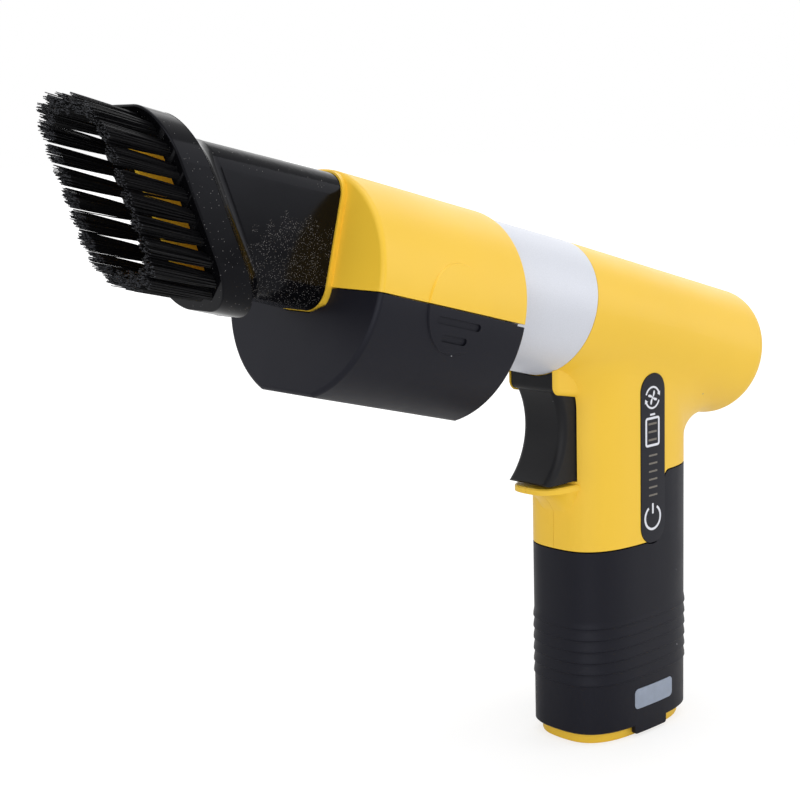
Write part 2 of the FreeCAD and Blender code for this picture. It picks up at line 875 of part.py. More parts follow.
def motor_end_cap():
    """Rear plate of the motor with the rear bearing's seat."""
    rim = motor_radius - motor_wall - run_gap
    front = motor_rear + motor_plate
    body = disc(rim, motor_rear, front)
    seat_end = front + bearing_length
    body = body.fuse(disc(bearing_radius + bearing_seat_wall, motor_rear + 0.1, seat_end))
    body = body.cut(disc(bearing_radius + run_gap, front, seat_end + 1))
    return in_barrel(body.cut(disc(shaft_radius + fit_gap, -far, far)))


def motor_bearings():
    """Front and rear bearings."""
    front = motor_front - motor_plate
    rear = motor_rear + motor_plate + bearing_length
    made = []
    for top in (front, rear):
        made.append(in_barrel(tube(bearing_radius, shaft_radius + run_gap, top - bearing_length, top)))
    return Part.makeCompound(made)


def stator_core():
    """Laminated stator with its teeth and end windings as one body."""
    rear = stator_centre - stator_length / 2
    front = stator_centre + stator_length / 2
    outer = motor_radius - motor_wall - run_gap
    inner = magnet_radius + magnet_air_gap
    yoke = tube(outer, outer - stator_yoke, rear, front)
    tooth = Part.makeBox(outer - inner - 0.4, stator_tooth_width, stator_length,
                         Vector(inner, -stator_tooth_width / 2, rear))
    shoe = tube(inner + 1.0, inner, rear, front)
    shoe_width = stator_tooth_width + 2 * stator_shoe_lip
    shoe = shoe.common(Part.makeBox(far, shoe_width, stator_length, Vector(0, -shoe_width / 2, rear)))
    teeth = ring_of(tooth, stator_teeth) + ring_of(shoe, stator_teeth)
    return in_barrel(yoke.fuse(teeth).cut(disc(inner, -far, far)))


def magnet_rotor():
    """Ring magnet on the shaft."""
    return in_barrel(tube(magnet_radius, shaft_radius, stator_centre - stator_length / 2 - 1,
                          stator_centre + stator_length / 2 + 1))


def motor_shaft():
    """Shaft with chamfered ends."""
    body = disc(shaft_radius, shaft_rear, shaft_front)
    rims = [edge for edge in body.Edges if edge.Closed]
    return in_barrel(body.makeChamfer(0.3, rims))


def rear_grille():
    """Outlet grille: ring slots crossed by spokes, with a flange behind the rear wall."""
    face = barrel_rear
    seat = barrel_rear + housing_wall + run_gap
    back = seat + grille_flange_thickness
    body = disc(grille_radius, face, back).fuse(disc(grille_flange_radius, seat, back))
    slots = []
    for i in range(grille_slot_count):
        outer = grille_radius - 1.6 - i * grille_ring_pitch
        slots.append(tube(outer, outer - grille_slot_width, face - 1, back + 1))
    spoke_corner = Vector(0, -grille_spoke_width / 2, face - far / 2)
    spoke = Part.makeBox(grille_radius, grille_spoke_width, far, spoke_corner)
    spokes = ring_of(spoke, grille_spokes)
    openings = slots[0].fuse(slots[1:]).cut(spokes[0].fuse(spokes[1:]))
    return in_shell(body.cut(openings))


def panel_board():
    """Circuit board behind the control panel."""
    wall_x = grip_half_width - housing_wall
    thickness = panel_board_thickness
    half = panel_board_half_width
    height = panel_board_top - panel_board_bottom
    start = Vector(wall_x - thickness - fit_gap - line_gap, panel_centre_y - half, panel_board_bottom)
    board = Part.makeBox(thickness, 2 * half, height, start)
    chip = panel_chip_size
    rise = panel_chip_height
    chips = []
    for i in range(panel_chip_count):
        lift = height * (i + 0.5) / panel_chip_count - chip / 2
        chips.append(Part.makeBox(rise, chip, chip, start + Vector(-rise, half - chip / 2, lift)))
    return board.fuse(chips)


def main_board():
    """Control board above the battery, shaped to the grip, with its larger components."""
    inset = housing_wall + fit_gap
    board = grip_column(inset, board_bottom_z, board_bottom_z + board_thickness)
    ahead = Part.makeBox(far, far, far, Vector(-far / 2, board_front_y - far, 0))
    board = board.cut(ahead)
    top = board_bottom_z + board_thickness
    capacitor = Part.makeCylinder(capacitor_radius, capacitor_height, Vector(-capacitor_x, capacitor_y, top))
    driver = Part.makeBox(driver_size, driver_size, driver_height, Vector(driver_x, driver_y, top))
    socket = Part.makeBox(socket_length, socket_width, socket_height, Vector(driver_x, socket_y, top))
    return board.fuse([capacitor, driver, socket])


def contact_stations():
    """Places of the contact blades along X."""
    return [contact_spacing * (i - (contact_count - 1) / 2) for i in range(contact_count)]


def battery_contacts():
    """Carrier under the main board with its contact blades."""
    carrier_bottom = board_bottom_z - carrier_thickness
    half = contact_spacing + carrier_margin
    front = contact_y - contact_width / 2
    carrier_corner = Vector(-half, front - carrier_margin / 2, carrier_bottom)
    carrier = Part.makeBox(2 * half, contact_width + carrier_margin, carrier_thickness, carrier_corner)
    bottom = tongue_top_z - contact_depth
    height = carrier_bottom + line_gap - bottom
    blades = []
    for x in contact_stations():
        corner = Vector(x - contact_thickness / 2, front, bottom)
        blades.append(Part.makeBox(contact_thickness, contact_width, height, corner))
    return carrier.fuse(blades)


def pack_terminals():
    """Terminal block of the pack, open at the top for the contact blades."""
    bottom = cell_top_z() + fit_gap + protection_thickness
    block = Part.makeBox(2 * terminal_half_width, 2 * terminal_half_depth, tongue_top_z - bottom,
                         Vector(-terminal_half_width, contact_y - terminal_half_depth, bottom))
    slots = []
    slot = contact_thickness + 2 * contact_slot_gap
    depth = contact_depth + contact_slot_gap
    width = contact_width + 2 * contact_slot_gap
    for x in contact_stations():
        corner = Vector(x - slot / 2, contact_y - width / 2, tongue_top_z - depth)
        slots.append(Part.makeBox(slot, width, depth + 1, corner))
    return block.cut(slots)


def cell_bottom_z():
    """Level where the cells stand on the base cap."""
    return cap_plate + cell_floor_gap


def cell_top_z():
    """Top of the cells."""
    return cell_bottom_z() + cell_length


def battery_cells():
    """Two round cells, one behind the other, with their raised terminals."""
    made = []
    for side in (-1, 1):
        y = side * (cell_radius + run_gap)
        cell = Part.makeCylinder(cell_radius, cell_length - cell_knob_height, Vector(0, y, cell_bottom_z()))
        rims = [edge for edge in cell.Edges if edge.Closed]
        cell = cell.makeChamfer(cell_edge, rims)
        knob = Part.makeCylinder(cell_knob_radius, 2.0, Vector(0, y, cell_top_z() - 2.0))
        made.append(cell.fuse(knob))
    return Part.makeCompound(made)


def protection_board():
    """Protection board on top of the cells."""
    bottom = cell_top_z() + fit_gap
    inset = tongue_inset + tongue_wall + seat_gap
    return grip_column(inset, bottom, bottom + protection_thickness)


def ribbed_shell():
    """Lower shell with shallow ribs round it, soft above and sharp below."""
    levels = [(case_bottom_z, case_edge), (case_bottom_z + case_edge, 0.0)]
    for i in range(rib_count - 1, -1, -1):
        z = rib_first_z - i * rib_pitch
        crest = z - rib_drop + rib_undercut
        levels += [(z - rib_drop, 0.0), (crest, -rib_proud), (z, -0.8 * rib_proud), (z + rib_rise, 0.0)]
    levels.append((battery_top_front, 0.0))
    return stack(levels, grip_half_width, grip_half_depth, grip_exponent)


def side_plate(centre_y, length, centre_z, height, corner, outer_inset, inner_inset):
    """Rounded plate that follows the grip's +X side between two insets."""
    box = Part.makeBox(30.0, length, height, Vector(5.0, centre_y - length / 2, centre_z - height / 2))
    uprights = [edge for edge in box.Edges if edge.BoundBox.XLength > 29]
    box = box.makeFillet(corner, uprights)
    low = centre_z - height
    high = centre_z + height
    skin = grip_column(outer_inset, low, high).cut(grip_column(inner_inset, low - 1, high + 1))
    return box.common(skin)


def battery_case():
    """Black case: ribbed lower shell, tall rear step and a tongue inside the housing."""
    step = grip_column(0.0, battery_top_front, battery_top_rear + 5).common(battery_zone(0.0, fit_gap))
    tongue = grip_column(tongue_inset, battery_top_front - 4, tongue_top_z)
    body = ribbed_shell().cut(panel_capsule(fit_gap)).fuse([step, tongue])
    shoulder = battery_top_front - case_wall
    low_room = grip_column(case_wall, case_bottom_z - 1, shoulder)
    roof = tongue_top_z - tongue_wall
    high_room = grip_column(tongue_inset + tongue_wall, shoulder - 1, roof)
    window_half = terminal_half_width + seat_gap
    window_depth = terminal_half_depth + seat_gap
    window_corner = Vector(-window_half, contact_y - window_depth, roof - 1)
    window = Part.makeBox(2 * window_half, 2 * window_depth, 10, window_corner)
    body = body.cut([low_room, high_room, window])
    tab_length = tab_rear_y - tab_front_y
    tab_height = case_bottom_z + case_wall - tab_bottom_z
    tab_middle = (tab_front_y + tab_rear_y) / 2
    tab = side_plate(tab_middle, tab_length, tab_bottom_z + tab_height / 2, tab_height, tab_corner,
                     0.0, tab_thickness)
    body = body.fuse(tab)
    play = 2 * line_gap
    recess = side_plate(badge_centre_y, badge_length + play, badge_centre_z, badge_height + play,
                        badge_corner + line_gap, -1.0, badge_depth)
    return body.cut(recess)


def badge_plate():
    """Plain plate in the case's recess."""
    return side_plate(badge_centre_y, badge_length, badge_centre_z, badge_height, badge_corner,
                      -badge_proud, badge_depth)


def battery_cap():
    """Base cap with a lip that goes up inside the case."""
    outer = case_wall
    edge = cap_edge_round
    levels = ((0, outer + edge), (0.25 * edge, outer + 0.35 * edge), (edge, outer), (case_bottom_z, outer))
    body = stack(levels, grip_half_width, grip_half_depth, grip_exponent)
    lip = grip_column(outer + run_gap, case_bottom_z - 0.5, case_bottom_z + cap_lip_height)
    room = grip_column(outer + run_gap + cap_lip_wall, cap_plate, case_bottom_z + cap_lip_height + 1)
    return body.fuse(lip).cut(room)


def cup_form(inset):
    """Whole cup: a cylinder below the bore with a flat underside."""
    rear = cup_rear + inset
    front = cup_front - inset
    body = Part.makeCylinder(cup_radius - inset, front - rear, Vector(0, -cup_axis_drop, rear))
    flat = Part.makeBox(far, far, far, Vector(-far / 2, cup_flat + inset - far, rear - 1))
    body = body.cut(flat)
    if inset > 0:
        return body
    front_rim = [edge for edge in body.Edges if edge.BoundBox.ZMin > front - 0.01]
    body = body.makeFillet(cup_front_round, front_rim)
    rear_rim = [edge for edge in body.Edges if edge.BoundBox.ZMax < rear + 0.01]
    return body.makeFillet(cup_rear_round, rear_rim)


def thumb_pads():
    """Raised round pads on both sides, centred on the parting line."""
    centre = Vector(0, -cup_axis_drop, cup_rear)
    length = cup_front - cup_rear
    core = Part.makeCylinder(cup_radius - cup_wall / 2, length, centre)
    skin = Part.makeCylinder(cup_radius + pad_proud, length, centre).cut(core)
    bar = Part.makeCylinder(pad_radius, far, Vector(-far / 2, parting, pad_centre_s), Vector(1, 0, 0))
    pads = skin.common(bar)
    rims = []
    for edge in pads.Edges:
        point = edge.valueAt(edge.FirstParameter)
        on_face = math.hypot(point.x, point.y + cup_axis_drop) > cup_radius + pad_proud / 2
        if on_face and edge.Length > pad_radius:
            rims.append(edge)
    return pads.makeChamfer(pad_proud, pad_bevel, rims)


def pad_grooves():
    """Capsule grooves across the lower half of both pads."""
    made = []
    floor = Part.makeCylinder(cup_radius + pad_proud - groove_depth, cup_front, Vector(0, -cup_axis_drop, 0))
    for i in range(2):
        u = groove_first_u - i * groove_pitch
        length = groove_first_length - i * groove_shrink
        radius = groove_height / 2
        straight = length - groove_height
        rear = groove_centre_s - straight / 2
        bar = Part.makeBox(far, groove_height, straight, Vector(-far / 2, u - radius, rear))
        for end in (-1, 1):
            centre = Vector(-far / 2, u, groove_centre_s + end * straight / 2)
            bar = bar.fuse(Part.makeCylinder(radius, far, centre, Vector(1, 0, 0)))
        made.append(bar.cut(floor))
    return made


def above_parting(level):
    """Everything above a level in the barrel's frame."""
    return Part.makeBox(far, far, far, Vector(-far / 2, level, -far / 4))


def snout_tube(grow, rear, front):
    """Rounded-rectangle prism of the snout, larger by the growth."""
    return rectangle_prism(snout_half_width + grow, snout_half_height + grow, snout_corner + grow,
                           snout_centre_u, rear, front)


def rim_form(grow, rear, front):
    """Rim round the snout's root, with its lower corners planed off, larger by the growth."""
    half = snout_half_width + rim_extra + grow
    keel = snout_centre_u - snout_half_height - seat_gap - sleeve_wall - grow
    chine = keel + rim_chine_rise
    keel_half = half - rim_chine_run
    outline = [(-far, far), (-far, chine), (-half, chine), (-keel_half, keel)]
    outline += [(-x, u) for x, u in reversed(outline)]
    points = [Vector(x, u, rear) for x, u in outline]
    planed = Part.Face(Part.makePolygon(points + points[:1])).extrude(Vector(0, 0, front - rear))
    return snout_tube(rim_extra + grow, rear, front).common(planed)


def cup_housing():
    """Yellow half of the cup with its lip, filter seat and the slanted snout."""
    room = cup_form(cup_wall)
    body = cup_form(0).fuse(thumb_pads()).cut(room).common(above_parting(parting))
    lip_outer = cup_radius - cup_wall - lip_gap
    lip_rear = Vector(0, -cup_axis_drop, cup_rear + lip_setback)
    lip_length = cup_front - cup_rear - 2 * lip_setback
    hollow = Part.makeCylinder(lip_outer - lip_wall, far, Vector(0, -cup_axis_drop, 0))
    lip = Part.makeCylinder(lip_outer, lip_length, lip_rear).cut(hollow)
    band = Part.makeBox(far, lip_height + lip_root, far, Vector(-far / 2, parting - lip_height, 0))
    bridge = Part.makeCylinder(cup_radius - cup_wall / 2, lip_length, lip_rear).cut(hollow)
    shelf = Part.makeBox(far, lip_root, far, Vector(-far / 2, parting, 0))
    body = body.fuse([lip.common(band), bridge.common(shelf)])
    wall_front = cup_rear + rear_wall
    wall = disc(cup_radius - 1, cup_rear + 0.2, wall_front).common(cup_form(0)).common(above_parting(parting))
    boss = disc(boss_outer_radius, cup_rear + 1, wall_front + boss_length).common(above_parting(parting))
    body = body.fuse([wall, boss])
    bore = front_spigot_radius + seat_gap
    body = body.cut(disc(bore, cup_rear - 1, wall_front + boss_length + 1))
    rim = rim_form(0.0, cup_front - cup_wall, cup_front + rim_proud)
    nose = snout_tube(0.0, cup_front - cup_wall, far).common(behind_plane(snout_front, mouth_slope))
    body = body.fuse([rim, nose])
    return in_barrel(body.cut(snout_tube(-snout_wall, cup_front - cup_wall - 1, far)))


def dust_bin():
    """Black half of the cup: an open trough with notches for the snout's rim and the ring."""
    top = parting - parting_gap
    body = cup_form(0).fuse(thumb_pads()).cut(cup_form(cup_wall)).cut(above_parting(top))
    body = body.cut(pad_grooves())
    rim = rim_form(fit_gap, cup_front - 2 * cup_wall, cup_front + 5)
    spigot = disc(boss_outer_radius - cup_wall, cup_rear - 1, cup_rear + 2 * cup_wall)
    corner = Part.makeBox(far, notch_height + 1, notch_length, Vector(-far / 2, top - notch_height, cup_rear))
    return in_barrel(body.cut([rim, spigot, corner]))


def seal_ring():
    """Soft ring between the silver ring's spigot and the filter's flange."""
    front = frame_rear - 0.05
    return in_barrel(tube(seal_outer_radius, seal_inner_radius, front - seal_thickness, front))


def filter_frame():
    """Cage that holds the filter, with a flange at the rear and an end cap at the front."""
    cage_rear = frame_rear + flange_thickness
    room = cup_form(cup_wall + fit_gap)
    flange = tube(flange_radius, pleat_inner_radius, frame_rear, cage_rear).common(room)
    cap = disc(frame_radius, frame_front - frame_end, frame_front)
    bar = Part.makeBox(frame_radius, frame_bar_width, frame_front - frame_rear - 1,
                       Vector(0, -frame_bar_width / 2, frame_rear + 0.5))
    cage = tube(frame_radius, frame_radius - frame_wall, frame_rear, frame_front)
    bars = [copy.common(cage) for copy in ring_of(bar, frame_bars)]
    return in_barrel(flange.fuse([cap] + bars))


def pleated_filter():
    """Pleated filter tube inside the cage."""
    outer = []
    inner = []
    for i in range(pleat_count):
        for half, radius in ((0, pleat_outer_radius), (1, pleat_inner_radius + pleat_thickness)):
            angle = math.pi * (2 * i + half) / pleat_count
            outer.append(Vector(radius * math.cos(angle), radius * math.sin(angle), 0))
            less = radius - pleat_thickness * (1.0 if half else 1.9)
            inner.append(Vector(less * math.cos(angle), less * math.sin(angle), 0))
    rear = frame_rear + flange_thickness + run_gap
    length = frame_front - frame_end - run_gap - rear
    face = Part.Face(Part.makePolygon(outer + outer[:1]))
    hollow = Part.Face(Part.makePolygon(inner + inner[:1]))
    body = face.cut(hollow).extrude(Vector(0, 0, length))
    body.translate(Vector(0, 0, rear))
    return in_barrel(body)


def collar_prism(rear, front):
    """Prism along the bore over the collar's outline."""
    return rectangle_prism(collar_half_width, collar_half_height, collar_corner, collar_centre_u, rear, front)


def sleeve_half_height(s):
    """Outside half height of the sleeve, which grows flatter towards the collar."""
    return snout_half_height + seat_gap + sleeve_wall - sleeve_taper * (s - cup_front)


def sleeve_form(rear, front):
    """Outside of the sleeve between two stations."""
    total = seat_gap + sleeve_wall
    ends = []
    for s in (rear, front):
        ends.append(rounded_rectangle(
            snout_half_width + total, sleeve_half_height(s), snout_corner + total, snout_centre_u, s
        ))
    return Part.makeLoft(ends, True, True)


def slanted_wire(prism, intercept):
    """Outline of a prism on a slanted plane."""
    half = 60.0
    corners = []
    for x, u in ((-half, -half), (half, -half), (half, half), (-half, half)):
        corners.append(Vector(x, u, intercept + mouth_slope * u))
    plane = Part.Face(Part.makePolygon(corners + corners[:1]))
    return prism.common(plane).Faces[0].OuterWire


def brush_nozzle():
    """Sleeve over the snout with a slanted, flared collar."""
    rear = cup_front + rim_proud + seat_gap
    collar_rear = collar_front - collar_length
    collar = collar_prism(rear, far).common(behind_plane(collar_front, mouth_slope))
    collar = collar.cut(behind_plane(collar_rear, mouth_slope))
    front_edges = []
    for edge in collar.Edges:
        middle = edge.valueAt((edge.FirstParameter + edge.LastParameter) / 2)
        if abs(middle.z - collar_front - mouth_slope * middle.y) < 0.01:
            front_edges.append(edge)
    collar = collar.makeFillet(rim_edge_round, front_edges)
    sleeve = sleeve_form(rear, collar_front + collar_half_height)
    sleeve = sleeve.common(behind_plane(collar_front - 1, mouth_slope))
    total = seat_gap + sleeve_wall
    half_width = snout_half_width + total
    corner_start = snout_corner + total
    flare_rear = collar_rear - flare_length
    reach = snout_half_height + total
    root_top = snout_centre_u + sleeve_half_height(flare_rear + mouth_slope * reach)
    root_bottom = snout_centre_u - sleeve_half_height(flare_rear - mouth_slope * reach)
    half_height = (root_top - root_bottom) / 2
    root_centre = (root_top + root_bottom) / 2
    sections = []
    for share in (0.0, 0.45, 0.8, 1.0):
        bulge = share ** flare_power
        grow_x = bulge * (collar_half_width - half_width) + run_gap
        grow_u = bulge * (collar_half_height - half_height) + run_gap
        centre = root_centre + bulge * (collar_centre_u - root_centre)
        corner = corner_start + bulge * (collar_corner - corner_start)
        prism = rectangle_prism(half_width + grow_x, half_height + grow_u, corner, centre, rear, far)
        sections.append(slanted_wire(prism, collar_rear - flare_length * (1 - share)))
    flare = Part.makeLoft(sections, True, False)
    body = collar.fuse([sleeve, flare])
    body = body.cut(snout_tube(seat_gap, rear - 1, far))
    return in_barrel(body)


def tuft_path():
    """Points and count of the tufts round the collar's face, from the top centre."""
    right = tuft_half_width - tuft_corner
    up = tuft_half_height - tuft_corner
    straight_x = 2 * right
    straight_u = 2 * up
    arc = math.pi * tuft_corner / 2
    total = 2 * (straight_x + straight_u) + 4 * arc
    places = []
    for i in range(tuft_count):
        run = total * i / tuft_count
        run = (run + straight_x / 2) % total
        legs = ((straight_x, "line", -right, up + tuft_corner, 0), (arc, "arc", right, up, 90),
                (straight_u, "line", right + tuft_corner, up, -90), (arc, "arc", right, -up, 0),
                (straight_x, "line", right, -up - tuft_corner, 180), (arc, "arc", -right, -up, -90),
                (straight_u, "line", -right - tuft_corner, -up, 90), (arc, "arc", -right, up, 180))
        for length, kind, x, u, heading in legs:
            if run > length:
                run -= length
                continue
            angle = math.radians(heading)
            if kind == "line":
                places.append((x + run * math.cos(angle), u + run * math.sin(angle)))
            else:
                angle -= run / tuft_corner
                places.append((x + tuft_corner * math.cos(angle), u + tuft_corner * math.sin(angle)))
            break
    return [(x, u + tuft_centre_u) for x, u in places]


def tuft_outline(x, u, radius, intercept, slope, skew):
    """Outline of a tuft where it meets a slanted plane."""
    corners = []
    for i in range(tuft_sides):
        angle = 2 * math.pi * i / tuft_sides
        across = x + radius * math.cos(angle)
        up = u + radius * math.sin(angle)
        corners.append(Vector(across, up, intercept + slope * up - skew * across))
    return Part.makePolygon(corners + corners[:1])


def bristle_tufts():
    """Tufts on the collar's face, each a bundle that widens towards its tip."""
    made = []
    for x, u in tuft_path():
        root = tuft_outline(x, u, tuft_root_radius, collar_front + line_gap / 2, mouth_slope, 0.0)
        tip = tuft_outline(x, u, tuft_tip_radius, tuft_tip, tuft_tip_slope, tuft_tip_skew)
        made.append(in_barrel(Part.makeLoft([root, tip], True, True)))
    return Part.makeCompound(made)


def build():
    """Make every node as a dictionary of name and shape."""
    outer = pistol_form(0.0, battery_top_front)
    inner = pistol_form(housing_wall, battery_top_front - 5)
    blank = housing_blank(outer, inner)
    nodes = {
        "housing_right": housing_half(blank, 1).cut(panel_pocket(outer)),
        "housing_left": housing_half(blank, -1),
        "motor_ring": motor_ring(),
        "fan_duct": fan_duct(),
        "motor_can": motor_can(),
        "motor_end_cap": motor_end_cap(),
        "stator_core": stator_core(),
        "motor_bearings": motor_bearings(),
        "trigger_pin": trigger_pin(),
        "trigger_spring": trigger_spring(),
        "trigger_switch": trigger_switch(),
        "control_panel": control_panel(outer),
        "panel_board": panel_board(),
        "main_board": main_board(),
        "battery_contacts": battery_contacts(),
        "rear_grille": rear_grille(),
        "housing_screws": screws(),
        "motor_shaft": motor_shaft(),
        "impeller": impeller(),
        "magnet_rotor": magnet_rotor(),
        "trigger": trigger(),
        "battery_case": battery_case(),
        "battery_cap": battery_cap(),
        "badge_plate": badge_plate(),
        "battery_cells": battery_cells(),
        "protection_board": protection_board(),
        "pack_terminals": pack_terminals(),
        "cup_housing": cup_housing(),
        "filter_frame": filter_frame(),
        "pleated_filter": pleated_filter(),
        "seal_ring": seal_ring(),
        "dust_bin": dust_bin(),
        "brush_nozzle": brush_nozzle(),
        "bristle_tufts": bristle_tufts(),
    }
    return nodes


os.makedirs("parts", exist_ok=True)
for name, shape in build().items():
    shape.exportStep("parts/" + name + ".step")
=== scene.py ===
import json
import math
import random

import bmesh
import bpy
from bpy.props import FloatProperty, FloatVectorProperty, IntProperty, PointerProperty
from mathutils import Matrix, Vector


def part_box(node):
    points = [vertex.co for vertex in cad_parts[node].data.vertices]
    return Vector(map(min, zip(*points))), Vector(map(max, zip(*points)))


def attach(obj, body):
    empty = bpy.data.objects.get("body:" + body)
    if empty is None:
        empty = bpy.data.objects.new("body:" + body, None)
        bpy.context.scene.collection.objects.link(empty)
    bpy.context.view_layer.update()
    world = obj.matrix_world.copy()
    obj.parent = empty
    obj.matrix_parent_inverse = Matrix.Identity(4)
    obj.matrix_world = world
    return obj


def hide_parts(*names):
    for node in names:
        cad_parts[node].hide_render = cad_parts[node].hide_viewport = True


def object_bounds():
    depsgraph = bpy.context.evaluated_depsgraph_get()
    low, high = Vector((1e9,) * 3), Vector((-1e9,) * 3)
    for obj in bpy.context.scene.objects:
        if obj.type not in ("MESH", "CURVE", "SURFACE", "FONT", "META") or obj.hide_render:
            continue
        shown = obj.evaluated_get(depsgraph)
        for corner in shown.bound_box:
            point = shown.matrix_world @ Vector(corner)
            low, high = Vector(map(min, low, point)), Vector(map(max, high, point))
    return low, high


# Looks of a cordless pistol-shaped air duster. Metres, +Z up, nozzle towards -Y, panel on +X.
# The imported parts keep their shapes. The bristles and the panel's printed signs are made here.

bl_info = {
    "name": "Air duster",
    "version": (1, 0, 0),
    "blender": (4, 5, 0),
    "location": "3D View > Sidebar > Duster",
    "description": "Finishes, bristles and printed marks for a cordless air duster",
    "category": "Object",
}

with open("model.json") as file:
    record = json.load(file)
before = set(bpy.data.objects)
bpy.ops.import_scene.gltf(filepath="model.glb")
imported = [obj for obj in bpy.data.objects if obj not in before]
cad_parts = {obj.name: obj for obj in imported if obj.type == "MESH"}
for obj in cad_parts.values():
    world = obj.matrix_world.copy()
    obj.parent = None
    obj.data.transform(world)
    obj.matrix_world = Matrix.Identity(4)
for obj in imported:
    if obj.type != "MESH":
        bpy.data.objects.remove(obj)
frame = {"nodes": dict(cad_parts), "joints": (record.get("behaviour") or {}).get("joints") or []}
cad_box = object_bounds()

mm = 0.001

# The barrel's own directions, from the axis that the rotor turns on
spin = next(joint for joint in frame["joints"] if joint["name"] == "rotor_spin")
bore_point = Vector(spin["pos_m"])
bore_forward = Vector(spin["axis"]).normalized()
bore_side = Vector((1.0, 0.0, 0.0))
bore_up = bore_forward.cross(bore_side)
barrel = Matrix((bore_side, bore_up, bore_forward)).transposed().to_4x4()
barrel.translation = bore_point

# The brush's mouth in the barrel's frame: the tufts stand on a rounded rectangle round it
mouth_front = 133.23 * mm
mouth_slope = 0.72
tip_front = 151.6 * mm
tip_slope = 0.68
tip_skew = 0.07
tuft_count = 23
tuft_half_width = 11.2 * mm
tuft_half_height = 17.65 * mm
tuft_centre = 0.85 * mm
tuft_corner = 7.5 * mm
tip_centre = barrel @ Vector((0.0, 0.0, tip_front))

# A filament: how deep its root sits in the collar, its width at the tip as a share of that at
# the root, and the heights at which it can bend
root_depth = 0.6 * mm
tip_taper = 0.36
bend_levels = (0.4, 0.75)

# Spokes of a tuft: the golden angle as a share of a half turn, and a scatter in radians
golden_share = 3 - math.sqrt(5)
spoke_scatter = 0.3

# Tips of a tuft: they spread, scatter, lean towards a few clumps and fall short by turns
tip_spread = 0.86
tip_scatter_mm = 0.14
clump_count = 6
clump_reach = 0.32
clump_pull = 0.4
clump_fall = 0.5
common_fall = 0.6
least_fall = 0.15
bend_outwards = 0.6
bend_scatter_mm = 0.12

# Dust gathers low on the sleeve's side, towards the cup, and thins out at a ragged edge
dust_centre = barrel @ (Vector((12.6, -8.0, 102.0)) * mm)
dust_reach = 19 * mm
dust_edge = -0.25
dust_cover = 0.36

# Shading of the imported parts: flat triangles up to this angle look like one surface
weld_distance = 0.002 * mm
smooth_angle = math.radians(28)

# Printed signs on the panel: middles along Y and Z, half sizes, and shares of a length
fan_middle = (0.3 * mm, 103.7 * mm)
fan_radius = 3.15 * mm
fan_arc_start = math.radians(25)
fan_arc_sweep = math.radians(135)
fan_arc_line = 0.8
arrow_length = 1.25 * mm
head_share = 0.6
blade_count = 4
blade_length = 2.15 * mm
blade_width = 1.15 * mm
blade_turn_degrees = 55
blade_root = 0.35
blade_curl = 0.22
battery_middle = (0.28 * mm, 93.45 * mm)
battery_half = (3.3 * mm, 4.45 * mm)
battery_corner = 0.95 * mm
terminal_half = (1.15 * mm, 0.3 * mm)
terminal_rise = 0.75 * mm
terminal_corner = 0.15 * mm
charge_count = 3
charge_half = (1.9 * mm, 0.3 * mm)
charge_pitch_mm = 2.4
level_count = 6
level_half = (1.95 * mm, 0.27 * mm)
level_y = 0.52 * mm
level_top_mm = 86.3
level_pitch_mm = 2.42
bar_corner = 0.12 * mm
power_middle = (0.34 * mm, 67.35 * mm)
power_radius = 3.55 * mm
power_gap = math.radians(32)
stroke_half_height = 1.6 * mm
stroke_rise = 2.75 * mm
stroke_corner = 0.2 * mm
ink_thickness = 0.06 * mm
point_distance = 0.001 * mm
arc_step = math.radians(8)
least_arc_steps = 6

# Lamps: name, place and width. Each one's power is a setting of the stage.
lamps = (
    ("top", (0.0, 0.0, 1.5), 1.0),
    ("key", (0.9, -0.9, 0.25), 0.9),
    ("fill", (0.35, -1.3, 0.12), 0.9),
    ("rim", (0.9, 0.9, 0.5), 0.9),
    ("back", (-0.5, 1.05, 0.65), 0.9),
)

# The floor, and how much of its plain white the camera sees: a share that grows by the metre
floor_radius = 6.0
floor_white = 1.25
white_share = 0.55
white_growth = 1.1

# Tints of reflections: plain, and slightly blue for the black plastics
plain_sheen = (1.0, 1.0, 1.0)
cool_sheen = (0.86, 0.88, 1.0)


def painted(red, green, blue):
    """A colour written as 0 to 255 on a screen, as the linear values that shaders take."""
    linear = []
    for level in (red, green, blue):
        share = level / 255
        linear.append(share / 12.92 if share <= 0.04045 else ((share + 0.055) / 1.055) ** 2.4)
    return tuple(linear)


def opaque(colour):
    """A colour with full opacity."""
    return (*colour, 1.0)


def scaled(colour, factor):
    """A lighter or darker colour."""
    return opaque([min(1.0, level * factor) for level in colour])


def colour_property(name, description, default):
    """A colour that the user can change."""
    return FloatVectorProperty(
        name=name, description=description, subtype="COLOR", size=3, min=0.0, max=1.0,
        default=default,
    )


def length_property(name, description, default):
    """A length that the user can change."""
    return FloatProperty(
        name=name, description=description, unit="LENGTH", precision=5, default=default
    )


def angle_property(name, description, degrees):
    """An angle that the user can change."""
    return FloatProperty(
        name=name, description=description, subtype="ANGLE", default=math.radians(degrees)
    )


def power_property(name, description, default):
    """A lamp's power that the user can change."""
    return FloatProperty(
        name=name, description=description, unit="POWER", min=0.0, default=default
    )


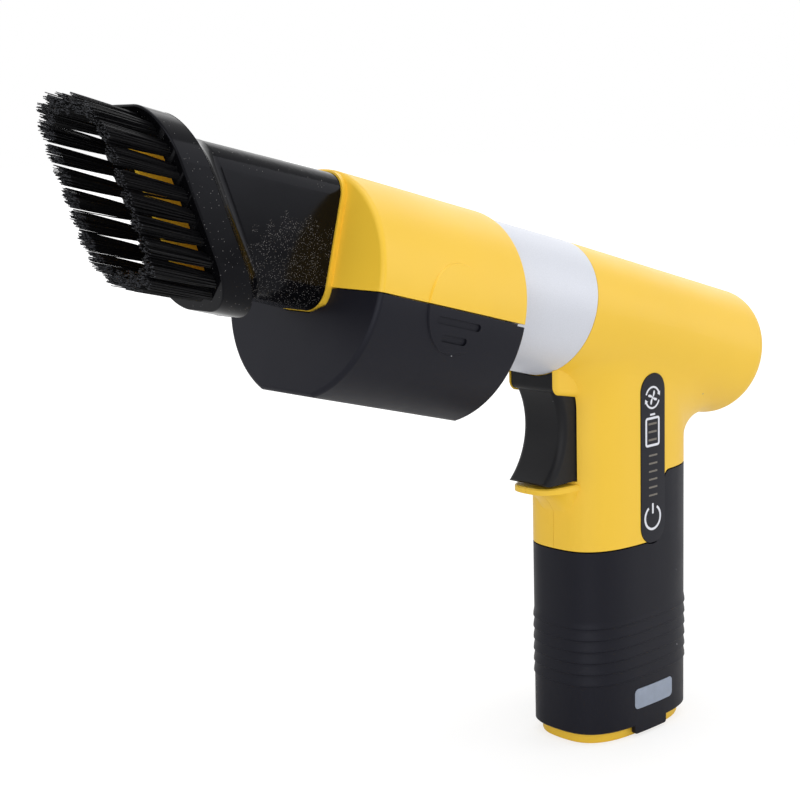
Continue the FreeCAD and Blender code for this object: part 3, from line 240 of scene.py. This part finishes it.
class DusterColours(bpy.types.PropertyGroup):
    """Colours of the visible parts."""

    yellow: colour_property("Yellow", "Moulded body, cup and base cap", painted(244, 199, 60))
    silver: colour_property("Silver", "Painted ring behind the cup", painted(213, 216, 225))
    black: colour_property("Black", "Battery case, dust bin and grille", painted(20, 20, 27))
    trigger: colour_property("Trigger", "Trigger", painted(21, 21, 24))
    nozzle: colour_property("Nozzle", "Glossy sleeve and collar of the brush", painted(8, 8, 10))
    bristle: colour_property("Bristles", "Nylon filaments", painted(16, 16, 18))
    panel: colour_property("Panel", "Film of the control panel", painted(28, 28, 36))
    mark: colour_property("Marks", "Printed outlines on the panel", painted(226, 228, 236))
    dim_mark: colour_property("Dim marks", "Unlit bars on the panel", painted(112, 106, 98))
    badge: colour_property("Badge", "Bare plate on the battery", painted(166, 176, 194))


class DusterSizes(bpy.types.PropertyGroup):
    """Sizes of the pieces that are made here."""

    filaments: IntProperty(
        name="Filaments", description="Filaments in each tuft", min=1, default=96
    )
    filament_width: length_property("Filament width", "Thickness of one filament", 0.28 * mm)
    tuft_root: length_property("Tuft root", "Radius of a tuft at the collar", 1.55 * mm)
    tuft_tip: length_property("Tuft tip", "Radius of a tuft at its tips", 2.4 * mm)
    tip_raggedness: length_property(
        "Tip raggedness", "How far filaments fall short of the tips", 0.9 * mm
    )
    mark_line: length_property("Mark line", "Width of the printed outlines", 0.72 * mm)
    mark_proud: length_property(
        "Mark height", "How far the marks stand on the panel", 0.05 * mm
    )


class DusterStage(bpy.types.PropertyGroup):
    """Camera, lamps and floor."""

    azimuth: angle_property("Azimuth", "Camera's turn round the object", 47.53)
    elevation: angle_property("Elevation", "Camera's height angle", 10.0)
    roll: angle_property("Roll", "Camera's tilt to the side", -1.62)
    place: FloatVectorProperty(
        name="Place", description="Camera's place", subtype="TRANSLATION", size=3,
        default=(0.322, -0.3802, 0.1901),
    )
    lens: FloatProperty(
        name="Lens", description="Focal length in millimetres", unit="CAMERA", default=74.69
    )
    floor: colour_property("Floor", "Plain floor", (0.86, 0.86, 0.86))
    sky: FloatProperty(
        name="Sky", description="Strength of the surrounding light", min=0.0, default=0.54
    )
    top: power_property("Top", "Power of the top lamp in watts", 6.6)
    key: power_property("Key", "Power of the key lamp in watts", 4.7)
    fill: power_property("Fill", "Power of the fill lamp in watts", 2.2)
    rim: power_property("Rim", "Power of the lamp on the right in watts", 3.6)
    back: power_property("Back", "Power of the lamp behind in watts", 2.0)


def colours():
    """Colours that the user can change."""
    return bpy.context.scene.duster_colours


def sizes():
    """Sizes that the user can change."""
    return bpy.context.scene.duster_sizes


class Value:
    """A shader socket that Python's operators act on."""

    def __init__(self, tree, socket):
        self.tree = tree
        self.socket = socket

    def maths(self, operation, first, second=None):
        """Add a Math node on this tree."""
        node = self.tree.nodes.new("ShaderNodeMath")
        node.operation = operation
        for index, value in enumerate((first, second)):
            if isinstance(value, Value):
                self.tree.links.new(value.socket, node.inputs[index])
            elif value is not None:
                node.inputs[index].default_value = value
        return Value(self.tree, node.outputs[0])

    def __add__(self, other):
        return self.maths("ADD", self, other)

    __radd__ = __add__

    def __sub__(self, other):
        return self.maths("SUBTRACT", self, other)

    def __rsub__(self, other):
        return self.maths("SUBTRACT", other, self)

    def __mul__(self, other):
        return self.maths("MULTIPLY", self, other)

    __rmul__ = __mul__

    def __gt__(self, other):
        return self.maths("GREATER_THAN", self, other)

    def __lt__(self, other):
        return self.maths("LESS_THAN", self, other)

    def most(self, other):
        """The larger of two values."""
        return self.maths("MAXIMUM", self, other)

    def sine(self):
        """Sine of the value."""
        return self.maths("SINE", self)


class Nodes:
    """A node tree that starts empty and gets its nodes by name."""

    def __init__(self, owner):
        owner.use_nodes = True
        self.tree = owner.node_tree
        self.tree.nodes.clear()

    def add(self, kind, settings, values, output=0):
        """Add a node, with its settings first and then the values or links of its sockets."""
        node = self.tree.nodes.new("ShaderNode" + kind)
        for name, setting in settings.items():
            setattr(node, name, setting)
        for name, value in values.items():
            socket = node.inputs[name]
            if isinstance(value, Value):
                self.tree.links.new(value.socket, socket)
            else:
                socket.default_value = value
        return Value(self.tree, node.outputs[output]) if node.outputs else None


class Finish(Nodes):
    """A material whose patterns follow the object's own coordinates."""

    def __init__(self, name):
        self.material = bpy.data.materials.new(name)
        super().__init__(self.material)
        self.place = self.add("TexCoord", {}, {}, "Object")

    def noise(self, scale, detail=2.0):
        """Noise of a scale per metre, about 0.5 on average."""
        return self.add("TexNoise", {}, {"Vector": self.place, "Scale": scale, "Detail": detail})

    def specks(self, scale, size, share):
        """Mask of scattered specks: cells per metre, size in cells, share of cells with one."""
        kind = {"feature": "F1"}
        values = {"Vector": self.place, "Scale": scale}
        distance = self.add("TexVoronoi", kind, values, "Distance")
        cell = self.add("TexVoronoi", kind, values, "Color")
        chance = self.add("SeparateColor", {}, {"Color": cell}, "Red")
        extent = self.add("SeparateColor", {}, {"Color": cell}, "Green")
        return (distance < extent * size) * (chance < share)

    def along(self, direction):
        """Distance along a direction, in metres."""
        values = {0: self.place, 1: tuple(direction)}
        return self.add("VectorMath", {"operation": "DOT_PRODUCT"}, values, "Value")

    def mix(self, factor, first, second):
        """Blend two colours."""
        return self.add("Mix", {"data_type": "RGBA"}, {0: factor, 6: first, 7: second}, 2)

    def shades(self, pattern, colour, dark, pale):
        """A colour that a pattern takes from a darker to a paler shade of itself."""
        return self.mix(pattern, scaled(colour, dark), scaled(colour, pale))

    def bump(self, height, strength, depth):
        """Surface normal from a height."""
        values = {"Height": height, "Strength": strength, "Distance": depth}
        return self.add("Bump", {}, values)

    def surface(self, **sockets):
        """Finish the material with the main shader, whose sockets have underscores for spaces."""
        values = {name.replace("_", " "): value for name, value in sockets.items()}
        shader = self.add("BsdfPrincipled", {}, values)
        self.add("OutputMaterial", {}, {"Surface": shader})
        return self.material


def moulded_plastic(name, colour, roughness, grain, specular=0.5, dust=0.0, sheen=plain_sheen):
    """Moulded plastic: slight unevenness of colour, fine grain and a little dust."""
    finish = Finish(name)
    base = finish.shades(finish.noise(35.0), colour, dark=0.96, pale=1.04)
    texture = finish.noise(2600.0, detail=3.0)
    rough = roughness + 0.10 * (finish.noise(120.0) - 0.5)
    if dust > 0:
        speck = finish.specks(520.0, size=0.13, share=dust)
        base = finish.mix(speck, base, opaque(painted(150, 150, 155)))
        rough = rough + 0.3 * speck
    return finish.surface(
        Base_Color=base, Roughness=rough,
        Specular_IOR_Level=specular, Specular_Tint=opaque(sheen),
        Normal=finish.bump(texture, strength=grain, depth=0.05 * mm),
    )


def glossy_nozzle(colour):
    """Polished black plastic with static dust on it, thicker in some places."""
    finish = Finish("nozzle_plastic")
    base = finish.shades(finish.noise(60.0), colour, dark=0.9, pale=1.2)
    ends = {0: finish.place, 1: tuple(dust_centre)}
    from_centre = finish.add("VectorMath", {"operation": "DISTANCE"}, ends, "Value")
    thick = (finish.noise(220.0, detail=3.0) - from_centre * (1 / dust_reach)) > dust_edge
    gathered = thick * finish.specks(3000.0, size=0.40, share=0.7)
    scattered = finish.specks(1900.0, size=0.28, share=0.18)
    dust = gathered.most(scattered)
    base = finish.mix(dust * dust_cover, base, opaque(painted(150, 148, 146)))
    smears = finish.noise(110.0, detail=4.0) - 0.5
    ripple = finish.noise(500.0)
    return finish.surface(
        Base_Color=base, Roughness=0.14 + 0.22 * smears + 0.35 * dust,
        Specular_IOR_Level=0.12, Specular_Tint=opaque(cool_sheen),
        Normal=finish.bump(ripple, strength=0.05, depth=0.05 * mm),
    )


def silver_paint(colour):
    """Satin metallic paint with a fine sparkle."""
    finish = Finish("silver_paint")
    flake = finish.noise(4200.0)
    uneven = finish.noise(150.0) - 0.5
    return finish.surface(
        Base_Color=finish.shades(flake, colour, dark=0.88, pale=1.10),
        Roughness=0.46 + 0.12 * uneven, Metallic=0.16, Specular_IOR_Level=0.35,
        Normal=finish.bump(flake, strength=0.10, depth=0.03 * mm),
    )


def metal(name, colour, roughness, scratches=900.0):
    """Machined or plated metal with faint marks."""
    finish = Finish(name)
    marks = finish.noise(scratches, detail=4.0)
    return finish.surface(
        Base_Color=finish.shades(marks, colour, dark=0.85, pale=1.08),
        Roughness=roughness + 0.16 * (marks - 0.5), Metallic=1.0,
        Normal=finish.bump(marks, strength=0.08, depth=0.02 * mm),
    )


def laminated_steel(colour):
    """Stacked sheets seen as fine lines across the motor's axis."""
    finish = Finish("stator_steel")
    sheet = 0.5 * mm
    line = (finish.along(bore_forward) * (2 * math.pi / sheet)).sine() * 0.5 + 0.5
    return finish.surface(
        Base_Color=finish.shades(line, colour, dark=0.6, pale=1.0),
        Roughness=0.45 + 0.1 * finish.noise(400.0), Metallic=0.9,
        Normal=finish.bump(line, strength=0.4, depth=0.03 * mm),
    )


def circuit_board(colour):
    """Solder mask with paler tracks under it."""
    finish = Finish("board_green")
    squares = {"feature": "F1", "distance": "CHEBYCHEV"}
    cells = finish.add("TexVoronoi", squares, {"Vector": finish.place, "Scale": 420.0}, "Distance")
    track = (cells > 0.38) * (finish.noise(250.0) > 0.45)
    return finish.surface(
        Base_Color=finish.shades(track, colour, dark=1.0, pale=1.7),
        Roughness=0.32 + 0.1 * finish.noise(200.0),
        Normal=finish.bump(track, strength=0.15, depth=0.03 * mm),
    )


def filter_cloth(colour):
    """Matted fibre of the pleated filter."""
    finish = Finish("filter_cloth")
    fibre = finish.noise(3500.0, detail=6.0)
    return finish.surface(
        Base_Color=finish.shades(fibre, colour, dark=0.82, pale=1.05),
        Roughness=0.9 - 0.1 * fibre, Normal=finish.bump(fibre, strength=0.6, depth=0.08 * mm),
    )


def cell_sleeve(colour):
    """Shrink sleeve round each cell, with bare steel on the raised terminal."""
    finish = Finish("cell_sleeve")
    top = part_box("battery_cells")[1].z
    terminal = 0.9 * mm
    bare = finish.add("SeparateXYZ", {}, {"Vector": finish.place}, "Z") > top - terminal
    base = finish.shades(finish.noise(80.0), colour, dark=0.92, pale=1.08)
    base = finish.mix(bare, base, opaque(painted(186, 188, 192)))
    creases = finish.noise(300.0)
    return finish.surface(
        Base_Color=base, Roughness=0.30 + 0.08 * finish.noise(60.0), Metallic=bare,
        Normal=finish.bump(creases, strength=0.05, depth=0.05 * mm),
    )


def nylon(colour):
    """Filaments with a slightly paler, scuffed end."""
    finish = Finish("bristle_nylon")
    scuff = 1.3 * mm
    height = finish.along(bore_forward) - tip_slope * finish.along(bore_up)
    tip_height = tip_centre.dot(bore_forward) - tip_slope * tip_centre.dot(bore_up)
    scuffed = (height > tip_height - scuff) * (finish.noise(1600.0) > 0.5)
    base = finish.mix(scuffed * 0.35, opaque(colour), opaque(painted(110, 112, 118)))
    return finish.surface(
        Base_Color=base, Roughness=0.38 + 0.3 * scuffed, Specular_IOR_Level=0.20,
        Normal=finish.bump(finish.noise(3000.0), strength=0.1, depth=0.03 * mm),
    )


def printed_mark(name, colour):
    """Printed ink with a faint unevenness."""
    finish = Finish(name)
    base = finish.shades(finish.noise(900.0), colour, dark=0.93, pale=1.05)
    return finish.surface(Base_Color=base, Roughness=0.4 + 0.1 * finish.noise(700.0))


def dress(material, *nodes):
    """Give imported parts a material, and round their shading across small angles."""
    for name in nodes:
        part = frame["nodes"][name]
        part.data.materials.clear()
        part.data.materials.append(material)
        part.data.shade_smooth()
        weld = part.modifiers.new("merge", "WELD")
        weld.merge_threshold = weld_distance
        split = part.modifiers.new("edges", "EDGE_SPLIT")
        split.split_angle = smooth_angle
        part.modifiers.new("normals", "WEIGHTED_NORMAL")


def new_piece(name, shape, material, body):
    """Make an object of a bmesh, which rides on a body and takes a slot's finish."""
    mesh = bpy.data.meshes.new(name)
    shape.to_mesh(mesh)
    shape.free()
    mesh.materials.append(material)
    piece = bpy.data.objects.new(name, mesh)
    bpy.context.scene.collection.objects.link(piece)
    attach(piece, body)
    return piece


class DUSTER_OT_body(bpy.types.Operator):
    """Finish the moulded body, cup and cap in yellow, and the ring in silver"""

    bl_idname = "duster.body"
    bl_label = "Body"

    def execute(self, context):
        yellow = moulded_plastic(
            "yellow_plastic", colours().yellow,
            roughness=0.40, grain=0.10, specular=0.35, dust=0.004,
        )
        dress(yellow, "housing_right", "housing_left", "cup_housing", "battery_cap")
        dress(silver_paint(colours().silver), "motor_ring")
        return {"FINISHED"}


class DUSTER_OT_dark_parts(bpy.types.Operator):
    """Finish the case, bin, grille, trigger and panel in satin black, and the bare badge"""

    bl_idname = "duster.dark_parts"
    bl_label = "Dark parts"

    def execute(self, context):
        shade = colours()
        black = moulded_plastic(
            "black_plastic", shade.black,
            roughness=0.44, grain=0.30, specular=0.20, dust=0.03, sheen=cool_sheen,
        )
        dress(black, "battery_case", "dust_bin", "rear_grille")
        trigger = moulded_plastic(
            "trigger_plastic", shade.trigger,
            roughness=0.45, grain=0.35, specular=0.20, dust=0.01,
        )
        dress(trigger, "trigger")
        panel = moulded_plastic(
            "panel_plastic", shade.panel,
            roughness=0.34, grain=0.05, specular=0.20, dust=0.01,
        )
        dress(panel, "control_panel")
        badge = metal("badge_metal", shade.badge, roughness=0.40, scratches=500.0)
        dress(badge, "badge_plate")
        return {"FINISHED"}


class DUSTER_OT_inner_parts(bpy.types.Operator):
    """Finish the motor, fan, boards, cells, filter and fasteners"""

    bl_idname = "duster.inner_parts"
    bl_label = "Inner parts"

    def execute(self, context):
        steel = metal("bearing_steel", painted(190, 190, 194), roughness=0.28)
        dress(
            steel, "motor_bearings", "trigger_pin", "trigger_spring", "housing_screws",
            "motor_shaft",
        )
        can = metal("motor_steel", painted(170, 172, 176), roughness=0.35)
        dress(can, "motor_can", "motor_end_cap")
        dress(laminated_steel(painted(150, 148, 146)), "stator_core")
        magnet = metal("magnet_dark", painted(90, 90, 94), roughness=0.5)
        dress(magnet, "magnet_rotor")
        brass = metal("contact_brass", painted(212, 178, 104), roughness=0.3)
        dress(brass, "battery_contacts")
        duct = moulded_plastic("duct_plastic", painted(60, 60, 64), roughness=0.5, grain=0.15)
        dress(duct, "fan_duct")
        fan = moulded_plastic("impeller_plastic", painted(34, 34, 36), roughness=0.4, grain=0.08)
        dress(fan, "impeller")
        dark = moulded_plastic("switch_plastic", painted(40, 40, 42), roughness=0.5, grain=0.15)
        dress(dark, "trigger_switch", "pack_terminals", "filter_frame")
        rubber = moulded_plastic("seal_rubber", painted(26, 26, 26), roughness=0.75, grain=0.2)
        dress(rubber, "seal_ring")
        board = circuit_board(painted(20, 84, 52))
        dress(board, "panel_board", "main_board", "protection_board")
        dress(cell_sleeve(painted(46, 96, 150)), "battery_cells")
        dress(filter_cloth(painted(226, 224, 214)), "pleated_filter")
        return {"FINISHED"}


class DUSTER_OT_nozzle(bpy.types.Operator):
    """Finish the sleeve and collar of the brush in glossy black"""

    bl_idname = "duster.nozzle"
    bl_label = "Brush sleeve"

    def execute(self, context):
        dress(glossy_nozzle(colours().nozzle), "brush_nozzle")
        return {"FINISHED"}


def tuft_places():
    """Centres of the tufts round the mouth, evenly spaced from the top."""
    right = tuft_half_width - tuft_corner
    up = tuft_half_height - tuft_corner
    quarter = math.pi * tuft_corner / 2
    # Straight sides with their start and heading, and corners with their centre and first spoke
    legs = (
        (2 * right, (-right, up + tuft_corner), 0), (quarter, (right, up), 90),
        (2 * up, (right + tuft_corner, up), -90), (quarter, (right, -up), 0),
        (2 * right, (right, -up - tuft_corner), 180), (quarter, (-right, -up), -90),
        (2 * up, (-right - tuft_corner, -up), 90), (quarter, (-right, up), 180),
    )
    total = sum(leg[0] for leg in legs)
    places = []
    for index in range(tuft_count):
        run = (total * index / tuft_count + right) % total
        turn = 0
        while run > legs[turn][0]:
            run -= legs[turn][0]
            turn += 1
        start = Vector(legs[turn][1])
        angle = math.radians(legs[turn][2])
        if turn % 2 == 0:
            place = start + run * Vector((math.cos(angle), math.sin(angle)))
        else:
            angle -= run / tuft_corner
            place = start + tuft_corner * Vector((math.cos(angle), math.sin(angle)))
        places.append(place + Vector((0.0, tuft_centre)))
    return places


def filament(shape, root, tip, bend, width):
    """One filament as a four-sided taper that bends towards its tip, in the barrel's frame."""
    cone = bmesh.ops.create_cone(
        shape, cap_ends=True, cap_tris=False, segments=4, radius1=width / 2,
        radius2=tip_taper * width, depth=1.0, matrix=Matrix.Translation((0.0, 0.0, 0.5)),
    )
    verts = cone["verts"]
    edges = list({edge for vert in verts for edge in vert.link_edges})
    faces = list({face for vert in verts for face in vert.link_faces})
    for level in bend_levels:
        cut = bmesh.ops.bisect_plane(
            shape, geom=verts + edges + faces, plane_co=(0.0, 0.0, level),
            plane_no=(0.0, 0.0, 1.0),
        )
        verts = list({item for item in cut["geom"] if isinstance(item, bmesh.types.BMVert)})
        edges = list({item for item in cut["geom"] if isinstance(item, bmesh.types.BMEdge)})
        faces = list({item for item in cut["geom"] if isinstance(item, bmesh.types.BMFace)})
    span = tip - root
    for vert in verts:
        share = vert.co.z
        across = Vector((vert.co.x, vert.co.y, 0.0))
        vert.co = root + span * share + bend * share * share + across


def grow_tuft(centre, rng, size):
    """One tuft, whose filaments fan out and gather in a few clumps towards their tips."""
    tuft = bmesh.new()
    clumps = []
    for _ in range(clump_count):
        angle = rng.uniform(0, 2 * math.pi)
        reach = rng.uniform(0.0, clump_reach) * size.tuft_tip
        spoke = Vector((math.cos(angle), math.sin(angle)))
        clumps.append((spoke * reach, rng.uniform(0.0, clump_fall)))
    for index in range(size.filaments):
        angle = index * math.pi * golden_share + rng.uniform(-spoke_scatter, spoke_scatter)
        share = math.sqrt((index + 0.5) / size.filaments)
        spoke = Vector((math.cos(angle), math.sin(angle)))
        near = centre + spoke * share * size.tuft_root
        pull, short = clumps[index % len(clumps)]
        wander = Vector((rng.gauss(0, tip_scatter_mm), rng.gauss(0, tip_scatter_mm))) * mm
        far = centre + spoke * share * size.tuft_tip * tip_spread + pull * clump_pull + wander
        if (far - centre).length > size.tuft_tip:
            far = centre + (far - centre).normalized() * size.tuft_tip
        fall = least_fall + (1 - least_fall) * rng.random() ** 2
        fall = fall * size.tip_raggedness * (common_fall + short)
        root = Vector((near.x, near.y, mouth_front + mouth_slope * near.y - root_depth))
        tip = Vector((far.x, far.y, tip_front + tip_slope * far.y - tip_skew * far.x - fall))
        drift = Vector((rng.gauss(0, bend_scatter_mm), rng.gauss(0, bend_scatter_mm))) * mm
        bend = (drift - bend_outwards * (far - near)).to_3d()
        filament(tuft, root, tip - bend, bend, size.filament_width)
    return tuft


class DUSTER_OT_bristles(bpy.types.Operator):
    """Make the tufts out of single filaments that fan out towards ragged tips"""

    bl_idname = "duster.bristles"
    bl_label = "Bristles"

    def execute(self, context):
        rng = random.Random(7)
        whole = bmesh.new()
        for centre in tuft_places():
            tuft = grow_tuft(centre, rng, sizes())
            part = bpy.data.meshes.new("tuft")
            tuft.to_mesh(part)
            tuft.free()
            whole.from_mesh(part)
            bpy.data.meshes.remove(part)
        bmesh.ops.transform(whole, matrix=barrel, verts=whole.verts)
        material = nylon(colours().bristle)
        piece = new_piece("bristle_filaments", whole, material, "brush")
        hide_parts("bristle_tufts")
        return {"FINISHED"}


def raised(middle, rise):
    """A point above another in the YZ plane."""
    return (middle[0], middle[1] + rise)


def mark_plate(shape, centre, half, corner):
    """Flat rounded rectangle in the YZ plane."""
    turn = Matrix(((0, 0, 1, 0), (1, 0, 0, 0), (0, 1, 0, 0), (0, 0, 0, 1)))
    place = Matrix.Translation((0, *centre)) @ turn @ Matrix.Diagonal((*half, 1.0, 1.0))
    grid = bmesh.ops.create_grid(shape, x_segments=1, y_segments=1, size=1.0, matrix=place)
    cut = bmesh.ops.bevel(
        shape, geom=grid["verts"], offset=corner, segments=6, profile=0.5, affect="VERTICES",
        material=-1,
    )
    return list({face for vert in cut["verts"] for face in vert.link_faces})


def mark_frame(shape, centre, half, corner, line):
    """Outline of a rounded rectangle."""
    faces = mark_plate(shape, centre, half, corner)
    bmesh.ops.inset_region(
        shape, faces=faces, thickness=line, use_boundary=True, use_even_offset=True
    )
    bmesh.ops.delete(shape, geom=faces, context="FACES")


def mark_arc(shape, centre, radius, line, start, sweep):
    """Strip along an open arc in the YZ plane, from a start angle above +Y."""
    ends = []
    for reach in (radius - line / 2, radius + line / 2):
        place = (0.0, centre[0] + reach * math.cos(start), centre[1] + reach * math.sin(start))
        ends.append(shape.verts.new(place))
    edge = shape.edges.new(ends)
    bmesh.ops.spin(
        shape, geom=[edge] + ends, cent=(0.0, *centre), axis=(1.0, 0.0, 0.0), angle=sweep,
        steps=max(least_arc_steps, int(abs(sweep) / arc_step)), use_merge=False,
    )


def mark_head(shape, centre, radius, size, angle, direction):
    """Arrow head on an arc."""
    along = Vector((-math.sin(angle), math.cos(angle))) * direction
    out = Vector((math.cos(angle), math.sin(angle)))
    middle = Vector(centre) + out * radius
    half_width = out * head_share * size
    corners = (middle + along * size, middle + half_width, middle - half_width)
    shape.faces.new([shape.verts.new((0.0, corner.x, corner.y)) for corner in corners])


def mark_blade(shape, centre, length, width, angle):
    """One curved blade of the fan sign, wider and more curved towards its end."""
    circle = bmesh.ops.create_circle(shape, cap_ends=True, segments=16, radius=1.0)
    for vert in circle["verts"]:
        reach = 0.5 * length * (1 + vert.co.x)
        share = reach / length
        half_width = 0.5 * width * vert.co.y * (blade_root + (1 - blade_root) * share)
        side = half_width + blade_curl * length * share ** 2
        turned = Vector((
            reach * math.cos(angle) - side * math.sin(angle),
            reach * math.sin(angle) + side * math.cos(angle),
        ))
        vert.co = Vector((0.0, centre[0] + turned.x, centre[1] + turned.y))


def lay_on_panel(shape):
    """Move flat marks onto the panel's face and give them a little thickness."""
    panel = frame["nodes"]["control_panel"]
    clearance = 10 * mm
    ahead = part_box("control_panel")[1].x + clearance
    back = Vector((-1.0, 0.0, 0.0))
    bmesh.ops.remove_doubles(shape, verts=shape.verts, dist=point_distance)
    for vert in shape.verts:
        hit, place, _, _ = panel.ray_cast(Vector((ahead, vert.co.y, vert.co.z)), back)
        if not hit:
            raise RuntimeError("a mark lies beside the panel")
        vert.co.x = place.x + sizes().mark_proud
    shape.normal_update()
    inward = [face for face in shape.faces if face.normal.x < 0]
    bmesh.ops.reverse_faces(shape, faces=inward)
    bmesh.ops.solidify(shape, geom=shape.faces, thickness=ink_thickness)


def bright_signs(line):
    """Fan, battery and power signs, flat in the YZ plane."""
    signs = bmesh.new()
    for turn in (0.0, math.pi):
        start = turn + fan_arc_start
        mark_arc(signs, fan_middle, fan_radius, fan_arc_line * line, start, fan_arc_sweep)
        mark_head(signs, fan_middle, fan_radius, arrow_length, start, -1)
    for index in range(blade_count):
        angle = math.radians(360 / blade_count * index + blade_turn_degrees)
        mark_blade(signs, fan_middle, blade_length, blade_width, angle)
    mark_frame(signs, battery_middle, battery_half, battery_corner, line)
    terminal = raised(battery_middle, battery_half[1] + terminal_rise)
    mark_plate(signs, terminal, terminal_half, terminal_corner)
    start = math.pi / 2 + power_gap
    mark_arc(signs, power_middle, power_radius, line, start, 2 * math.pi - 2 * power_gap)
    stroke = raised(power_middle, stroke_rise)
    mark_plate(signs, stroke, (line / 2, stroke_half_height), stroke_corner)
    return signs


def dim_bars():
    """Bars of the level scale and of the battery sign, flat in the YZ plane."""
    bars = bmesh.new()
    for index in range(level_count):
        place = (level_y, (level_top_mm - level_pitch_mm * index) * mm)
        mark_plate(bars, place, level_half, bar_corner)
    for index in range(charge_count):
        place = raised(battery_middle, (charge_pitch_mm - charge_pitch_mm * index) * mm)
        mark_plate(bars, place, charge_half, bar_corner)
    return bars


class DUSTER_OT_marks(bpy.types.Operator):
    """Print the fan, battery, level and power signs on the control panel"""

    bl_idname = "duster.marks"
    bl_label = "Panel marks"

    def execute(self, context):
        signs = bright_signs(sizes().mark_line)
        lay_on_panel(signs)
        ink = printed_mark("sign_ink", colours().mark)
        new_piece("panel_signs", signs, ink, "housing")
        bars = dim_bars()
        lay_on_panel(bars)
        ink = printed_mark("bar_ink", colours().dim_mark)
        new_piece("panel_bars", bars, ink, "housing")
        return {"FINISHED"}


def floor_material(colour):
    """Pale floor that goes to white for the camera away from the object, and keeps the shadow."""
    finish = Finish("floor")
    seen = finish.add("LightPath", {}, {}, "Is Camera Ray")
    base = finish.shades(finish.noise(3.0), colour, dark=0.99, pale=1.01)
    plain = finish.add("BsdfDiffuse", {}, {"Color": base})
    glow = finish.add("Emission", {}, {"Color": opaque(plain_sheen), "Strength": floor_white})
    away = finish.add("VectorMath", {"operation": "LENGTH"}, {0: finish.place}, "Value")
    share = seen * (away * white_growth + white_share)
    mixed = finish.add("MixShader", {}, {0: share, 1: plain, 2: glow})
    finish.add("OutputMaterial", {}, {"Surface": mixed})
    return finish.material


def add_floor(colour):
    """Round floor under the object."""
    shape = bmesh.new()
    bmesh.ops.create_circle(shape, cap_ends=True, segments=96, radius=floor_radius)
    mesh = bpy.data.meshes.new("floor")
    shape.to_mesh(mesh)
    shape.free()
    mesh.materials.append(floor_material(colour))
    floor = bpy.data.objects.new("floor", mesh)
    bpy.context.scene.collection.objects.link(floor)


def studio_world(strength):
    """Soft light from all round, which the camera, gloss and glass see as plain white."""
    world = bpy.data.worlds.new("studio")
    nodes = Nodes(world)
    rays = [
        nodes.add("LightPath", {}, {}, kind)
        for kind in ("Is Camera Ray", "Is Glossy Ray", "Is Transmission Ray")
    ]
    seen = rays[0].most(rays[1]).most(rays[2])
    light = nodes.add("Background", {}, {"Color": opaque(plain_sheen), "Strength": strength})
    white = nodes.add("Background", {}, {"Color": opaque(plain_sheen)})
    mixed = nodes.add("MixShader", {}, {0: seen, 1: light, 2: white})
    nodes.add("OutputWorld", {}, {"Surface": mixed})
    return world


def add_lamp(name, place, target, width, power):
    """Square soft lamp aimed at a point."""
    light = bpy.data.lights.new(name, "AREA")
    light.energy = power
    light.size = width
    item = bpy.data.objects.new(name, light)
    item.location = place
    item.rotation_euler = (target - Vector(place)).to_track_quat("-Z", "Y").to_euler()
    bpy.context.scene.collection.objects.link(item)


def add_camera(stage):
    """Camera at the place and angle of the photograph."""
    data = bpy.data.cameras.new("camera")
    data.lens = stage.lens
    data.sensor_width = 36.0
    camera = bpy.data.objects.new("camera", data)
    camera.location = stage.place
    turn = Matrix.Rotation(stage.azimuth, 4, "Z")
    turn = turn @ Matrix.Rotation(math.pi / 2 - stage.elevation, 4, "X")
    camera.rotation_euler = (turn @ Matrix.Rotation(stage.roll, 4, "Z")).to_euler()
    bpy.context.scene.collection.objects.link(camera)
    bpy.context.scene.camera = camera


class DUSTER_OT_stage(bpy.types.Operator):
    """Set the floor, the soft studio light and the camera"""

    bl_idname = "duster.stage"
    bl_label = "Stage"

    def execute(self, context):
        stage = context.scene.duster_stage
        add_floor(stage.floor)
        context.scene.world = studio_world(stage.sky)
        middle = (cad_box[0] + cad_box[1]) / 2
        for name, place, width in lamps:
            add_lamp(name, place, middle, width, getattr(stage, name))
        add_camera(stage)
        context.scene.view_settings.view_transform = "Standard"
        return {"FINISHED"}


class DUSTER_PT_panel(bpy.types.Panel):
    """Steps that build the duster's looks"""

    bl_label = "Air duster"
    bl_idname = "DUSTER_PT_panel"
    bl_space_type = "VIEW_3D"
    bl_region_type = "UI"
    bl_category = "Duster"

    def draw(self, context):
        layout = self.layout
        for step in steps:
            layout.operator(step.bl_idname)
        scene = context.scene
        for group in (scene.duster_colours, scene.duster_sizes, scene.duster_stage):
            box = layout.box()
            for name in group.__annotations__:
                box.prop(group, name)


steps = (
    DUSTER_OT_stage,
    DUSTER_OT_body,
    DUSTER_OT_dark_parts,
    DUSTER_OT_inner_parts,
    DUSTER_OT_nozzle,
    DUSTER_OT_bristles,
    DUSTER_OT_marks,
)
classes = (DusterColours, DusterSizes, DusterStage) + steps + (DUSTER_PT_panel,)


def register():
    """Add the classes and the scene's settings."""
    for item in classes:
        bpy.utils.register_class(item)
    bpy.types.Scene.duster_colours = PointerProperty(type=DusterColours)
    bpy.types.Scene.duster_sizes = PointerProperty(type=DusterSizes)
    bpy.types.Scene.duster_stage = PointerProperty(type=DusterStage)


def unregister():
    """Take them away again."""
    del bpy.types.Scene.duster_stage
    del bpy.types.Scene.duster_sizes
    del bpy.types.Scene.duster_colours
    for item in reversed(classes):
        bpy.utils.unregister_class(item)


def main():
    """Build everything."""
    register()
    bpy.ops.duster.stage()
    bpy.ops.duster.body()
    bpy.ops.duster.dark_parts()
    bpy.ops.duster.inner_parts()
    bpy.ops.duster.nozzle()
    bpy.ops.duster.bristles()
    bpy.ops.duster.marks()


if __name__ == "__main__":
    main()
